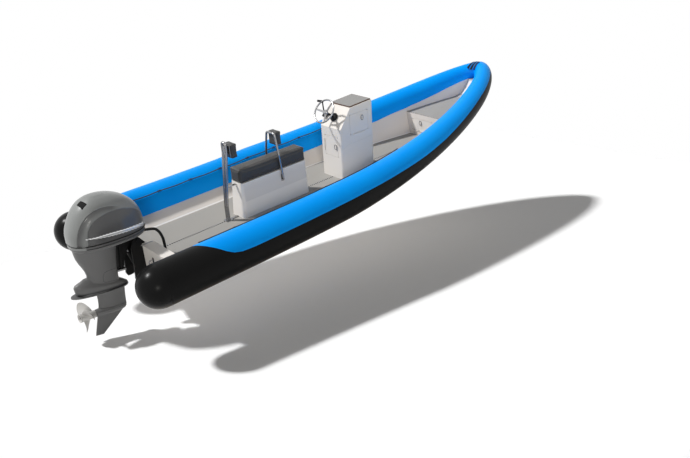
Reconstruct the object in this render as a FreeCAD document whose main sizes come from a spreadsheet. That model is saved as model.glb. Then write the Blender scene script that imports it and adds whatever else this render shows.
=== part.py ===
import FreeCAD, Part
import math
import os
import Sketcher
from FreeCAD import Placement, Rotation, Vector
from types import SimpleNamespace

# A seven-metre rigid inflatable boat with an outboard motor, in millimetres.
# +X points to the bow, +Y to port and +Z up. The origin is on the centreline
# at the waterline, at the aft face of the transom.

# Name, size and meaning of every driving dimension.
SIZES = [
    ("tube_spacing", 962, "middle of the boat to the centreline of a tube"),
    ("tube_height", 201, "waterline to the tube's centreline at the stern"),
    ("tube_radius", 239, "radius of the parallel part of the tube"),
    ("tube_bow_radius", 156, "radius of the tube at the bow"),
    ("tube_aft_end", -296, "where the tube's rounded end begins"),
    ("tube_knuckle", 2332, "where the tube starts to curve in"),
    ("tube_bow", 6435, "centreline of the tube at the bow"),
    ("bow_seam", 5600, "seam between a fore chamber and the bow chamber"),
    ("bow_corner", 30, "radius of the inner corner at the bow"),
    ("plan_entry", 1.707, "exponent of the tube's plan curve along the boat"),
    ("plan_fullness", 0.618, "exponent of the tube's plan curve across the boat"),
    ("sheer_start", 580, "where the tube starts to rise"),
    ("sheer_rise", 623, "rise of the tube's centreline to the bow"),
    ("sheer_power", 2.633, "how late the tube rises"),
    ("seat_gap", 0.4, "glue gap round a moulding that seats on another piece"),
    ("tube_gap", 0.7, "glue gap between the tube and what seats on it"),
    ("keel_depth", 250, "waterline to the keel at the transom"),
    ("forefoot_start", 3400, "where the keel starts to rise"),
    ("stem_end", 6350, "where the keel meets the tube"),
    ("stem_rise", 900, "rise of the keel to the stem head"),
    ("forefoot_power", 5, "how late the keel rises"),
    ("hull_end", 6225, "foremost section of the hull"),
    ("chine_depth", 7, "chine below the waterline at the stern"),
    ("chine_rise", 607, "rise of the chine to the stem"),
    ("chine_power", 5.7, "how late the chine rises"),
    ("chine_flat", 36, "width of the flat outside the chine"),
    ("strake_width", 32, "width of a spray strake at the stern"),
    ("deck_height", 60, "waterline to the deck"),
    ("deck_gap", 183, "deck edge to the tube's inner side at the stern"),
    ("deck_gap_fore", 85, "deck edge to the tube's inner side at the locker"),
    ("liner_wall", 12, "thickness of the deck moulding"),
    ("locker_face", 5095, "aft face of the bow locker"),
    ("locker_depth", 205, "inside depth of the bow locker"),
    ("platform_height", 402, "waterline to the aft edge of the bow platform"),
    ("platform_slope", 0.107, "rise of the bow platform per length"),
    ("platform_end", 5960, "front end of the bow platform"),
    ("liner_end", 6215, "front end of the bow moulding"),
    ("transom_thickness", 50, "thickness of the transom board"),
    ("transom_seat", 280, "waterline to the motor's seat"),
    ("transom_top", 295, "waterline to the top of the transom caps"),
    ("cutout_half_width", 200, "half width between the transom caps"),
    ("cap_overhang", 33, "how far a cap stands aft of the transom"),
    ("cap_depth", 140, "length of a cap fore and aft"),
    ("cap_fascia", 62, "height of a cap's edge"),
    ("knee_depth", 45, "length of the box under a cap"),
    ("console_aft", 3060, "aft face of the console"),
    ("console_length", 617, "length of the console"),
    ("console_half_width", 200, "half width of the console"),
    ("console_wall", 12, "thickness of the console's walls"),
    ("dash_height", 261, "foot of the dash to its upper edge"),
    ("dash_top_x", 3251, "upper edge of the dash along the boat"),
    ("dash_top_height", 1040, "waterline to the upper edge of the dash"),
    ("console_top_rise", 20, "upper edge of the dash to the console's front top edge"),
    ("top_pad_thickness", 14, "thickness of the pad on the console"),
    ("hatch_gap", 3, "gap round a hatch"),
    ("hatch_thickness", 10, "thickness of a hatch"),
    ("side_hatch_aft", 3235, "aft edge of the side hatch"),
    ("side_hatch_length", 350, "length of the side hatch"),
    ("side_hatch_drop", 380, "upper edge of the dash to the lower edge of the side hatch"),
    ("side_hatch_height", 285, "height of the side hatch"),
    ("aft_hatch_half_width", 130, "half width of the console's aft hatch"),
    ("aft_hatch_foot", 370, "waterline to the lower edge of the aft hatch"),
    ("aft_hatch_height", 290, "height of the console's aft hatch"),
    ("locker_hatch_edge", 0.322245, "port edge of the locker's hatch, as a share of the tube spacing"),
    ("locker_hatch_share", 0.426195, "width of the locker's hatch, as a share of the tube spacing"),
    ("locker_hatch_foot", 135, "waterline to the lower edge of the locker's hatch"),
    ("locker_hatch_height", 185, "height of the bow locker's hatch"),
    ("hinge_radius", 4.5, "radius of a hatch's hinge barrel"),
    ("hinge_reach", 4, "hinge line to the edge of a hatch's opening"),
    ("hinge_height", 5, "hinge line off the face it sits on"),
    ("wheel_radius", 162, "centreline radius of the steering wheel's rim"),
    ("wheel_rim", 11, "radius of the rim's tube"),
    ("wheel_reach", 228, "dash to the centre of the steering wheel"),
    ("helm_height", 0.455, "place of the helm up the dash, as a share"),
    ("seat_aft", 1425, "aft face of the seat's base at the top"),
    ("seat_length", 1060, "length of the seat's base at the top"),
    ("seat_half_width", 110, "half width of the seat's base at the top"),
    ("seat_flare", 26, "how far the seat's foot stands out"),
    ("seat_height", 516, "waterline to the top of the seat's base"),
    ("cushion_thickness", 178, "thickness of the seat cushion"),
    ("backrest_leg", 14, "radius of a backrest's tube"),
    ("mid_backrest_foot", 378, "waterline to the foot of the middle backrest"),
    ("mid_backrest_x", 2069, "middle backrest's foot along the boat"),
    ("mid_backrest_top", 990, "waterline to the top of the middle backrest"),
    ("mid_backrest_lean", 34, "how far the middle backrest leans aft"),
    ("rear_post_x", 1246, "foot of the rear post along the boat"),
    ("rear_post_lean", 78, "how far the rear post leans forward"),
    ("rear_post_top", 1062, "waterline to the top of the rear post"),
    ("rear_post_spread", 31, "half the distance between the post's tubes at the top"),
    ("pad_half_width", 85, "half width of a backrest pad"),
    ("pad_height", 178, "height of a backrest pad"),
    ("pad_thickness", 95, "thickness of a backrest pad"),
    ("rope_radius", 7, "radius of the lifeline"),
    ("rope_angle", 130, "lifeline's place round the tube, from outboard"),
    ("rope_sag", 3.5, "how far the lifeline sags between its patches, in degrees"),
    ("rope_aft", 330, "aft end of the lifeline"),
    ("rope_span", 470, "distance between two lifeline patches"),
    ("hose_radius", 16, "radius of the rigging hose"),
    ("tilt_x", -50, "tilt axis along the boat"),
    ("tilt_z", 345, "tilt axis above the waterline"),
    ("trim_angle", 7, "how far the motor is trimmed out"),
    ("tilt_tube_radius", 18, "radius of the tilt tube"),
    ("bearing_gap", 0.05, "clearance of a shaft in its bearing"),
    ("clamp_half_width", 125, "half width over the clamp bracket"),
    ("clamp_plate", 24, "thickness of a clamp bracket's plate"),
    ("clamp_drop", 510, "tilt axis to the foot of the clamp bracket"),
    ("swivel_offset", 150, "steering axis aft of the tilt axis"),
    ("swivel_radius", 34, "outer radius of the swivel tube"),
    ("swivel_top", 22, "upper end of the swivel tube above the tilt axis"),
    ("swivel_bottom", -330, "lower end of the swivel tube below the tilt axis"),
    ("swivel_half_width", 95, "half width of the swivel bracket's hub"),
    ("steering_shaft", 20, "radius of the steering shaft"),
    ("cylinder_radius", 22, "radius of the tilt cylinder"),
    ("tilt_rod", 9, "radius of the tilt rod"),
    ("cylinder_foot_x", -60, "lower pin of the tilt cylinder along the boat"),
    ("cylinder_foot_z", -40, "lower pin of the tilt cylinder above the waterline"),
    ("cylinder_length", 232, "lower pin to the gland of the tilt cylinder"),
    ("rod_eye_x", -85, "eye of the tilt rod aft of the tilt axis"),
    ("rod_eye_z", -90, "eye of the tilt rod below the tilt axis"),
    ("cowl_centre_x", -281, "middle of the cowl's seam aft of the tilt axis"),
    ("cowl_seam_z", 78, "middle of the cowl's seam above the tilt axis"),
    ("cowl_pitch", 3.8, "how far the cowl's seam drops aft, in degrees"),
    ("cowl_half_length", 431, "half length of the cowl at the seam"),
    ("cowl_half_width", 225, "half width of the cowl at the seam"),
    ("cowl_height", 516, "seam to the top of the cowl"),
    ("cowl_wall", 9, "thickness of the cowl"),
    ("pan_depth", 40, "depth of the lower cowl"),
    ("leg_front", -205, "front of the midsection aft of the tilt axis"),
    ("plate_z", -537, "cavitation plate below the tilt axis"),
    ("plate_thickness", 12, "thickness of the cavitation plate"),
    ("shaft_z", -800, "propeller shaft below the tilt axis"),
    ("gearcase_front", -128, "front of the gearcase aft of the tilt axis"),
    ("gearcase_rear", -500, "rear of the gearcase aft of the tilt axis"),
    ("gearcase_radius", 50, "radius of the gearcase"),
    ("skeg_z", -1085, "foot of the skeg below the tilt axis"),
    ("propeller_radius", 195, "radius over the blades"),
    ("hub_radius", 46, "radius of the propeller's hub"),
    ("hub_length", 185, "length of the propeller's hub"),
    ("blade_pitch", 480, "advance of a blade in one turn"),
]


class Size:
    """A sheet value that keeps its formula, so that an object can be bound to it."""

    def __init__(self, number, text):
        self.number = float(number)
        self.text = text

    def __float__(self):
        return self.number

    def join(self, other, sign, number):
        return Size(number, "(%s %s %s)" % (self.text, sign, text_of(other)))

    def __add__(self, other):
        return self.join(other, "+", self.number + float(other))

    def __sub__(self, other):
        return self.join(other, "-", self.number - float(other))

    def __mul__(self, other):
        return self.join(other, "*", self.number * float(other))

    def __truediv__(self, other):
        return self.join(other, "/", self.number / float(other))

    def __neg__(self):
        return Size(-self.number, "(0 - %s)" % self.text)

    def __radd__(self, other):
        return Size(other, repr(float(other))) + self

    def __rsub__(self, other):
        return Size(other, repr(float(other))) - self

    def __rmul__(self, other):
        return self * other


def text_of(size):
    return size.text if isinstance(size, Size) else repr(float(size))


def write_sheet(doc):
    """The sheet of driving dimensions: words in A, numbers with aliases in B."""
    sheet = doc.addObject("Spreadsheet::Sheet", "Sheet")
    sizes = SimpleNamespace()
    for row, (name, number, words) in enumerate(SIZES, start=1):
        sheet.set("A%d" % row, words)
        sheet.set("B%d" % row, str(number))
        sheet.setAlias("B%d" % row, name)
        setattr(sizes, name, Size(number, "Sheet." + name))
    doc.recompute()
    return sizes


doc = FreeCAD.newDocument("RigidInflatableBoat")
s = write_sheet(doc)
s.console_knee = s.dash_top_height - s.dash_height
s.console_top = s.dash_top_height + s.console_top_rise
s.side_hatch_foot = s.dash_top_height - s.side_hatch_drop
s.locker_hatch_port = s.tube_spacing * s.locker_hatch_edge
s.locker_hatch_width = s.tube_spacing * s.locker_hatch_share
nodes = {}


def keep(node, obj):
    """Give a finished object the name of its node."""
    obj.Label = node
    nodes[node] = obj
    return obj


def bind(obj, name, size):
    obj.setExpression(name, text_of(size))


def place(obj, x=0, y=0, z=0, rotation=Rotation()):
    obj.Placement = Placement(Vector(float(x), float(y), float(z)), rotation)
    for axis, size in zip("xyz", (x, y, z)):
        if isinstance(size, Size):
            bind(obj, "Placement.Base." + axis, size)
    return obj


# Building blocks

def box(x, y, z):
    """A box between pairs of low and high places."""
    obj = doc.addObject("Part::Box", "Box")
    for name, (low, high) in zip(("Length", "Width", "Height"), (x, y, z)):
        bind(obj, name, high - low)
    return place(obj, x[0], y[0], z[0])


def cylinder(radius, length, foot, axis=Vector(0, 0, 1)):
    obj = doc.addObject("Part::Cylinder", "Cylinder")
    bind(obj, "Radius", radius)
    bind(obj, "Height", length)
    return place(obj, *foot, rotation=Rotation(Vector(0, 0, 1), axis))


def cut(base, tool):
    obj = doc.addObject("Part::Cut", "Cut")
    obj.Base = base
    obj.Tool = tool
    return obj


def fuse(pieces):
    obj = doc.addObject("Part::MultiFuse", "Fuse")
    obj.Shapes = pieces
    return obj


def mirrored(node, source):
    """The starboard twin of a port piece."""
    obj = doc.addObject("Part::Mirroring", "Mirror")
    obj.Source = source
    obj.Normal = Vector(0, 1, 0)
    return keep(node, obj)


def solid(shape, name="Form"):
    obj = doc.addObject("Part::Feature", name)
    obj.Shape = shape
    return obj


def body_plane(body, role):
    return next(f for f in body.Origin.OriginFeatures if f.Role == role + "_Plane")


def sketch(body, role, outline, offset):
    """A closed outline of bound corners on one of the body's planes."""
    sk = body.newObject("Sketcher::SketchObject", "Outline")
    sk.AttachmentSupport = (body_plane(body, role), [""])
    sk.MapMode = "FlatFace"
    sk.AttachmentOffset = Placement(Vector(0, 0, float(offset)), Rotation())
    bind(sk, "AttachmentOffset.Base.z", offset)
    corners = [Vector(float(x), float(y), 0) for x, y in outline]
    count = len(corners)
    for i in range(count):
        sk.addGeometry(Part.LineSegment(corners[i], corners[(i + 1) % count]))
    for i in range(count):
        sk.addConstraint(Sketcher.Constraint("Coincident", i, 2, (i + 1) % count, 1))
    for i, corner in enumerate(outline):
        for kind, letter, size in zip(("DistanceX", "DistanceY"), "xy", corner):
            index = sk.addConstraint(Sketcher.Constraint(kind, -1, 1, i, 1, float(size)))
            sk.renameConstraint(index, "%s%d" % (letter, i))
            bind(sk, "Constraints.%s%d" % (letter, i), size)
    return sk


def pad(role, outline, low, high, rounds=()):
    """A padded outline from low to high along the plane's axis, with rounded edges.

    rounds holds pairs of a radius and a test that picks the edges."""
    body = doc.addObject("PartDesign::Body", "Body")
    start = -high if role == "XZ" else low
    sk = sketch(body, role, outline, start if isinstance(start, Size) else float(start))
    feature = body.newObject("PartDesign::Pad", "Pad")
    feature.Profile = sk
    bind(feature, "Length", high - low)
    sk.Visibility = False
    doc.recompute()
    for radius, test in rounds:
        picked = ["Edge%d" % i for i, e in enumerate(feature.Shape.Edges, 1) if test(e)]
        fillet = body.newObject("PartDesign::Fillet", "Fillet")
        fillet.Base = (feature, picked)
        bind(fillet, "Radius", radius)
        doc.recompute()
        feature = fillet
    return body


def along(axis):
    """Picks the straight edges that run along an axis."""
    def test(edge):
        if edge.Curve.TypeId != "Part::GeomLine":
            return False
        return abs(edge.Curve.Direction.dot(axis)) > 0.999
    return test


def every(*tests):
    return lambda edge: all(test(edge) for test in tests)


def beyond(axis, limit):
    """Picks the edges whose middle lies past a limit along an axis."""
    return lambda edge: edge.CenterOfMass.dot(axis) > float(limit)


X, Y, Z = Vector(1, 0, 0), Vector(0, 1, 0), Vector(0, 0, 1)


def polygon(points):
    return Part.makePolygon([Vector(*p) for p in points] + [Vector(*points[0])])


def upright(form):
    """The same solid, right side out."""
    if form.Volume < 0:
        form.reverse()
    return form


def loft(wires, ruled=False):
    """Solid through closed sections."""
    return upright(Part.makeLoft(wires, True, ruled))


def slab(points, depth):
    """Solid made by moving a flat outline along a vector."""
    return upright(Part.Face(polygon(points)).extrude(Vector(*depth)))


def round_path(points, bend):
    """Straight runs joined by tangent arcs, each as large as its runs allow."""
    points = [Vector(*p) for p in points]
    edges = []
    start = points[0]
    for before, corner, after in zip(points, points[1:], points[2:]):
        to_before = (before - corner).normalize()
        to_after = (after - corner).normalize()
        half = to_before.getAngle(to_after) / 2
        reach = min(bend / math.tan(half), 0.45 * min((before - corner).Length, (after - corner).Length))
        radius = reach * math.tan(half)
        first = corner + to_before * reach
        last = corner + to_after * reach
        to_middle = (to_before + to_after).normalize()
        middle = corner + to_middle * (radius / math.sin(half) - radius)
        edges.append(Part.LineSegment(start, first).toShape())
        edges.append(Part.Arc(first, middle, last).toShape())
        start = last
    edges.append(Part.LineSegment(start, points[-1]).toShape())
    return Part.Wire(edges)


def tube_along(points, radius, bend):
    path = round_path(points, bend)
    direction = Vector(*points[1]) - Vector(*points[0])
    ring = Part.Wire([Part.makeCircle(float(radius), Vector(*points[0]), direction)])
    return path.makePipeShell([ring], True, True)


# The buoyancy tube's centreline

def tube_half_width(x):
    """Distance of the tube's centreline from the middle of the boat."""
    share = max(0.0, (x - float(s.tube_knuckle)) / float(s.tube_bow - s.tube_knuckle))
    return float(s.tube_spacing) * max(0.0, 1 - share ** float(s.plan_entry)) ** float(s.plan_fullness)


def tube_x(half_width):
    """Place along the boat where the centreline has a given half width."""
    share = 1 - (half_width / float(s.tube_spacing)) ** (1 / float(s.plan_fullness))
    return float(s.tube_knuckle) + float(s.tube_bow - s.tube_knuckle) * share ** (1 / float(s.plan_entry))


def tube_level(x):
    share = max(0.0, (x - float(s.sheer_start)) / float(s.tube_bow - s.sheer_start))
    return float(s.tube_height) + float(s.sheer_rise) * share ** float(s.sheer_power)


def tube_size(x):
    share = max(0.0, (x - float(s.tube_knuckle)) / float(s.tube_bow - s.tube_knuckle))
    return float(s.tube_radius) + float(s.tube_bow_radius - s.tube_radius) * share


def inward_at(x, y):
    """Horizontal direction from the port centreline to the inside of the boat.

    Square to the tube, and past the bow seam fanned towards the inner corner."""
    start = float(s.bow_seam)
    if x < start:
        return square_to_tube(x)
    seam_y, tip = tube_half_width(start), float(s.tube_bow)
    edge = Vector(start, seam_y, 0) + square_to_tube(start) * tube_size(start)
    corner = Vector(tip - float(s.tube_bow_radius + s.bow_corner), 0, 0)
    share = math.hypot(tip - x, y) / math.hypot(tip - start, seam_y)
    target = corner + (edge - corner) * share
    return (target - Vector(x, y, 0)).normalize()


def square_to_tube(x):
    step = 1.0
    slope = (tube_half_width(x + step) - tube_half_width(x - step)) / (2 * step)
    return Vector(slope, -1, 0).normalize()


def tube_frame(x, y):
    """Centre, inward, up and aft directions of the port tube's section."""
    inward = inward_at(x, y)
    step = 1.0
    rise = (tube_level(x + step) - tube_level(x - step)) / (2 * step) * -inward.y
    forward = Vector(-inward.y, inward.x, 0)
    up = (Z - forward * rise).normalize()
    return Vector(x, y, tube_level(x)), inward, up, inward.cross(up)


def tube_ring(x, y, extra, side=1):
    """Circular section of the tube, its seam at the bottom."""
    centre, inward, up, _ = tube_frame(x, y)
    centre, inward, up = (Vector(v.x, v.y * side, v.z) for v in (centre, inward, up))
    ring = Part.Wire([Part.makeCircle(tube_size(x) + extra)])
    ring.Placement = Placement(centre, Rotation(-up, inward, inward.cross(up), "ZXY"))
    return ring


def side_places():
    """Sections of the tube's aft and fore chambers."""
    knuckle = float(s.tube_knuckle)
    return [float(s.tube_aft_end)] + spread(float(s.sheer_start), knuckle, 5), spread(knuckle, float(s.bow_seam), 10)


def ring_point(x, angle, extra):
    centre, inward, up, _ = tube_frame(x, tube_half_width(x))
    reach = tube_size(x) + extra
    turn = math.radians(angle)
    return centre - inward * (reach * math.cos(turn)) + up * (reach * math.sin(turn))


def tube_point(x, angle, extra):
    """A point off the port tube's side, between two sections: 0 degrees is outboard, 90 is up."""
    places = side_places()[0] + side_places()[1][1:]
    after = next(place for place in places if place > x)
    before = max(place for place in places if place <= x)
    share = (x - before) / (after - before)
    return ring_point(before, angle, extra) * (1 - share) + ring_point(after, angle, extra) * share


def spread(low, high, count):
    return [low + (high - low) * i / (count - 1) for i in range(count)]


def side_chamber(places, extra=0.0):
    """One length of the port tube through sections along the boat."""
    return loft([tube_ring(x, tube_half_width(x), extra) for x in places], True)


def bow_chamber(extra=0.0):
    """The tube round the bow, from seam to seam."""
    seam = tube_half_width(float(s.bow_seam))
    widths = [seam * share for share in (1, 0.87, 0.73, 0.59, 0.45, 0.32, 0.19, 0.08)]
    rings = [tube_ring(tube_x(y), y, extra) for y in widths] + [tube_ring(float(s.tube_bow), 0.0, extra)]
    half = loft(rings[:5], True).fuse(loft(rings[4:], True))
    return half.fuse(half.mirror(Vector(0, 0, 0), Y)).removeSplitter()


def tube_forms(extra=0.0):
    """Every chamber of the tube, grown by extra, for seating other pieces."""
    aft, fore = (side_chamber(places, extra) for places in side_places())
    return [aft, fore, aft.mirror(Vector(0, 0, 0), Y), fore.mirror(Vector(0, 0, 0), Y), bow_chamber(extra)]


def build_tubes():
    aft, fore, _, _, bow = tube_forms()
    mirrored("tube_starboard_aft", keep("tube_port_aft", solid(aft)))
    mirrored("tube_starboard_fore", keep("tube_port_fore", solid(fore)))
    keep("tube_bow", solid(bow))


def carve(shape, tools):
    """Cut one tool after another."""
    for tool in tools:
        shape = shape.cut(tool)
    return shape


def build_cones():
    """The rounded aft ends of the tubes, turned about the tube's axis."""
    ball = doc.addObject("Part::Sphere", "End")
    bind(ball, "Radius", s.tube_radius)
    place(ball, s.tube_aft_end, s.tube_spacing, s.tube_height)
    half = box((s.tube_aft_end - s.tube_radius * 2, s.tube_aft_end),
               (s.tube_spacing - s.tube_radius * 2, s.tube_spacing + s.tube_radius * 2),
               (s.tube_height - s.tube_radius * 2, s.tube_height + s.tube_radius * 2))
    cap = doc.addObject("Part::Common", "Cap")
    cap.Base = ball
    cap.Tool = half
    mirrored("cone_starboard", keep("cone_port", cap))


# The hull and the deck moulding

def keel_level(x):
    share = max(0.0, (x - float(s.forefoot_start)) / float(s.stem_end - s.forefoot_start))
    return -float(s.keel_depth) + float(s.stem_rise) * share ** float(s.forefoot_power)


def chine(x):
    """Half width and height of the chine."""
    share = max(0.0, (x - float(s.tube_knuckle)) / float(s.stem_end - s.tube_knuckle))
    level = -float(s.chine_depth) + float(s.chine_rise) * share ** float(s.chine_power)
    fore = min(1.0, max(0.0, (x - float(s.tube_knuckle)) / float(s.locker_face - s.tube_knuckle)))
    return tube_half_width(x) - 0.93 * tube_size(x) - 25 * fore, level


def hull_ring(x):
    """Closed section of the hull: keel, two strakes, chine, topside and top."""
    keel = keel_level(x)
    half, level = chine(x)
    slope = (level - keel) / half
    width = float(s.strake_width) * half / chine(0)[0]
    side = [(0, keel)]
    for share in (0.36, 0.68):
        y = half * share
        side += [(y, keel + slope * y), (y + width, keel + slope * y), (y + width, keel + slope * (y + width))]
    centre, radius = tube_half_width(x), tube_size(x)
    flat = float(s.chine_flat) * half / chine(0)[0]
    side += [(half, level), (half + flat, level), (centre - 0.3 * radius, tube_level(x) - 0.5 * radius)]
    side += [(centre - 0.3 * radius, tube_level(x))]
    ring = [(x, y, z) for y, z in side] + [(x, -y, z) for y, z in reversed(side[1:])]
    return polygon(ring)


def deck_edge(x):
    """Half width of the deck: the tube's inner side less the sloped wall."""
    share = min(1.0, max(0.0, (x - float(s.tube_knuckle)) / float(s.locker_face - s.tube_knuckle)))
    gap = float(s.deck_gap) + float(s.deck_gap_fore - s.deck_gap) * share
    gap += 0.12 * max(0.0, x - float(s.locker_face))
    return tube_half_width(x) - tube_size(x) - gap


def wall_top(x):
    """Where the sloped wall meets the tube, a little way inside it."""
    radius = tube_size(x)
    return tube_half_width(x) - 0.90 * radius, tube_level(x) - 0.10 * radius


def cockpit_ring(x, floor, edge, offset, lid):
    """Section of the cockpit's space, grown by offset on its floor and walls."""
    top_y, top_z = wall_top(x)
    lean = math.hypot(top_y - edge, top_z - floor)
    out_y, out_z = (top_z - floor) / lean * offset, (top_y - edge) / lean * offset
    corner = offset * (lean - (top_y - edge)) / (top_z - floor)
    side = [(edge + corner, floor - offset), (top_y + out_y, top_z - out_z), (top_y + out_y, lid)]
    return polygon([(x, y, z) for y, z in side] + [(x, -y, z) for y, z in reversed(side)])


def cockpit_places():
    """Sections of the deck moulding, one of them where the bow platform begins."""
    knuckle, back = float(s.tube_knuckle), float(s.locker_face + s.liner_wall)
    return [0.0, knuckle] + spread(knuckle + 500, back, 5) + [float(s.locker_face + s.locker_depth)]


def cockpit_space(offset, lid):
    """The cockpit from the transom to the end of the bow locker."""
    places = cockpit_places()
    places += [places[-1] + offset] if offset > 0 else []
    floor = float(s.deck_height)
    return loft([cockpit_ring(x, floor, deck_edge(x), offset, tube_level(x) + lid) for x in places], True)


def platform_level(x):
    """Top of the bow platform, curving up into the bow past its front end."""
    past = max(0.0, x - float(s.platform_end))
    return float(s.platform_height) + float(s.platform_slope) * (x - float(s.locker_face)) + 0.0032 * past * past


def platform_edge(x, level):
    """Half width of the wall at a level."""
    top_y, top_z = wall_top(x)
    low_y, low_z = deck_edge(x), float(s.deck_height)
    return low_y + (top_y - low_y) * (level - low_z) / (top_z - low_z)


def bow_places():
    """Sections along the bow platform and up the curve at its front."""
    start = float(s.locker_face + s.liner_wall)
    return spread(start, float(s.platform_end), 5) + spread(float(s.platform_end), float(s.liner_end), 4)[1:]


def bow_space(offset, lid):
    """The space over the bow platform."""
    rings = []
    for x in bow_places():
        level = platform_level(x)
        rings.append(cockpit_ring(x, level, platform_edge(x, level), offset, tube_level(x) + lid))
    beyond = rings[-1].copy()
    beyond.translate(Vector(offset + 1, 0, 0))
    return loft(rings + [beyond], True)


def tray_ring(x, floor, edge, wall):
    """Section of a moulding with a floor and two sloped walls that run into the tubes."""
    top_y, top_z = wall_top(x)
    lean = math.hypot(top_y - edge, top_z - floor)
    out_y, out_z = (top_z - floor) / lean * wall, (top_y - edge) / lean * wall
    corner = wall * (lean - (top_y - edge)) / (top_z - floor)
    side = [(edge, floor), (top_y, top_z), (top_y + out_y, top_z - out_z), (edge + corner, floor - wall)]
    return polygon([(x, y, z) for y, z in side] + [(x, -y, z) for y, z in reversed(side)])


def hull_places():
    return [0.0, 1200.0] + spread(float(s.tube_knuckle), float(s.hull_end), 14)


def keel_run(x):
    """Point on the hull's keel, and the keel's direction there."""
    after = next(place for place in hull_places() if place > x)
    before = max(place for place in hull_places() if place <= x)
    low, high = Vector(before, 0, keel_level(before)), Vector(after, 0, keel_level(after))
    return low + (high - low) * ((x - before) / (after - before)), (high - low).normalize()


def build_hull(tubes):
    form = loft([hull_ring(x) for x in hull_places()], True)
    wall = float(s.liner_wall + s.seat_gap)
    low = float(s.deck_height) - wall
    recess = Part.makeBox(float(s.transom_thickness + s.seat_gap) + 1, 3000, 1000, Vector(-1, -1500, low))
    form = carve(form, tubes + [cockpit_space(wall, 80), bow_space(wall, 80), recess])
    keep("hull", solid(largest(form)))


def largest(shape):
    return max(shape.Solids, key=lambda piece: abs(piece.Volume))


def build_liner(tubes):
    """The deck moulding: floor and sloped walls, lower under the bow platform."""
    wall, face = float(s.liner_wall), float(s.locker_face)
    board = Part.makeBox(float(s.transom_thickness + s.seat_gap) + 100, 3000, 1000, Vector(-100, -1500, -100))
    form = loft([tray_ring(x, float(s.deck_height), deck_edge(x), wall) for x in cockpit_places()], True)
    low, high = face + wall, face + float(s.locker_depth) + 10
    under = -wall - float(s.seat_gap)
    wedge = [(low, -900, platform_level(low) + under), (high, -900, platform_level(high) + under),
             (high, -900, 900), (low, -900, 900)]
    form = carve(form, tubes + [slab(wedge, (0, 1800, 0)), board])
    keep("deck_liner", solid(largest(form)))


def build_bow_locker(tubes):
    """Bulkhead with its hatch opening and the platform that runs up into the bow."""
    face, wall, gap = float(s.locker_face), float(s.liner_wall), float(s.seat_gap)
    rings = [tray_ring(x, platform_level(x), platform_edge(x, platform_level(x)), wall) for x in bow_places()]
    end = float(s.liner_end)
    corner = Part.makeBox(120, 160, wall * 1.5, Vector(end - 10, -80, platform_level(end) - wall * 0.7))
    tray = loft(rings, True).fuse(corner)
    back = face + wall
    outline = []
    for z in (float(s.deck_height) + gap, platform_level(face)):
        edge = platform_edge(back, z) - gap - 0.4
        outline += [(face, edge, z), (face, -edge, z)]
    outline[2], outline[3] = outline[3], outline[2]
    front = slab(outline, (wall, 0, 0))
    width, height = float(s.locker_hatch_width), float(s.locker_hatch_height)
    hole = Part.makeBox(wall + 20, width, height,
                        Vector(face - 10, float(s.locker_hatch_port) - width, float(s.locker_hatch_foot)))
    shape = upright(largest(carve(tray, tubes))).fuse([upright(largest(front.cut(hole)))] + locker_hinge()[1])
    keep("bow_locker", solid(upright(largest(shape))))


def build_transom(tubes):
    """Board with caps each side of the motor's seat."""
    half, bevel = s.cutout_half_width, s.cutout_half_width * 0.85
    low, wide = s.deck_height - s.liner_wall, s.tube_spacing - 60
    board = pad("YZ", [(-wide, low), (wide, low), (wide, s.transom_top), (half, s.transom_top),
                       (bevel, s.transom_seat), (-bevel, s.transom_seat), (-half, s.transom_top),
                       (-wide, s.transom_top)], 0, s.transom_thickness)
    blocks = [board]
    for side in (1, -1):
        sides = sorted((half * side, wide * side), key=float)
        cap = box((-s.cap_overhang, s.cap_depth - s.cap_overhang), sides, (s.transom_top - s.cap_fascia, s.transom_top))
        knee = box((s.transom_thickness, s.transom_thickness + s.knee_depth), sides,
                   (s.deck_height + s.seat_gap, s.transom_top - s.cap_fascia))
        blocks += [cap, knee]
    shape = fuse(blocks)
    doc.recompute()
    trimmed = carve(shape.Shape, tubes)
    keep("transom", solid(transom_shape(trimmed)))


def transom_shape(trimmed):
    """Keep the board full size and trim the knees to the deck's walls."""
    thick = float(s.transom_thickness)
    aft = trimmed.common(Part.makeBox(thick + 400, 3000, 900, Vector(-400, -1500, -500)))
    fore = trimmed.common(Part.makeBox(400, 3000, 900, Vector(thick, -1500, -500)))
    fore = fore.common(cockpit_space(-float(s.seat_gap), 400))
    return largest(aft.fuse(fore).removeSplitter())


# The console

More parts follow.
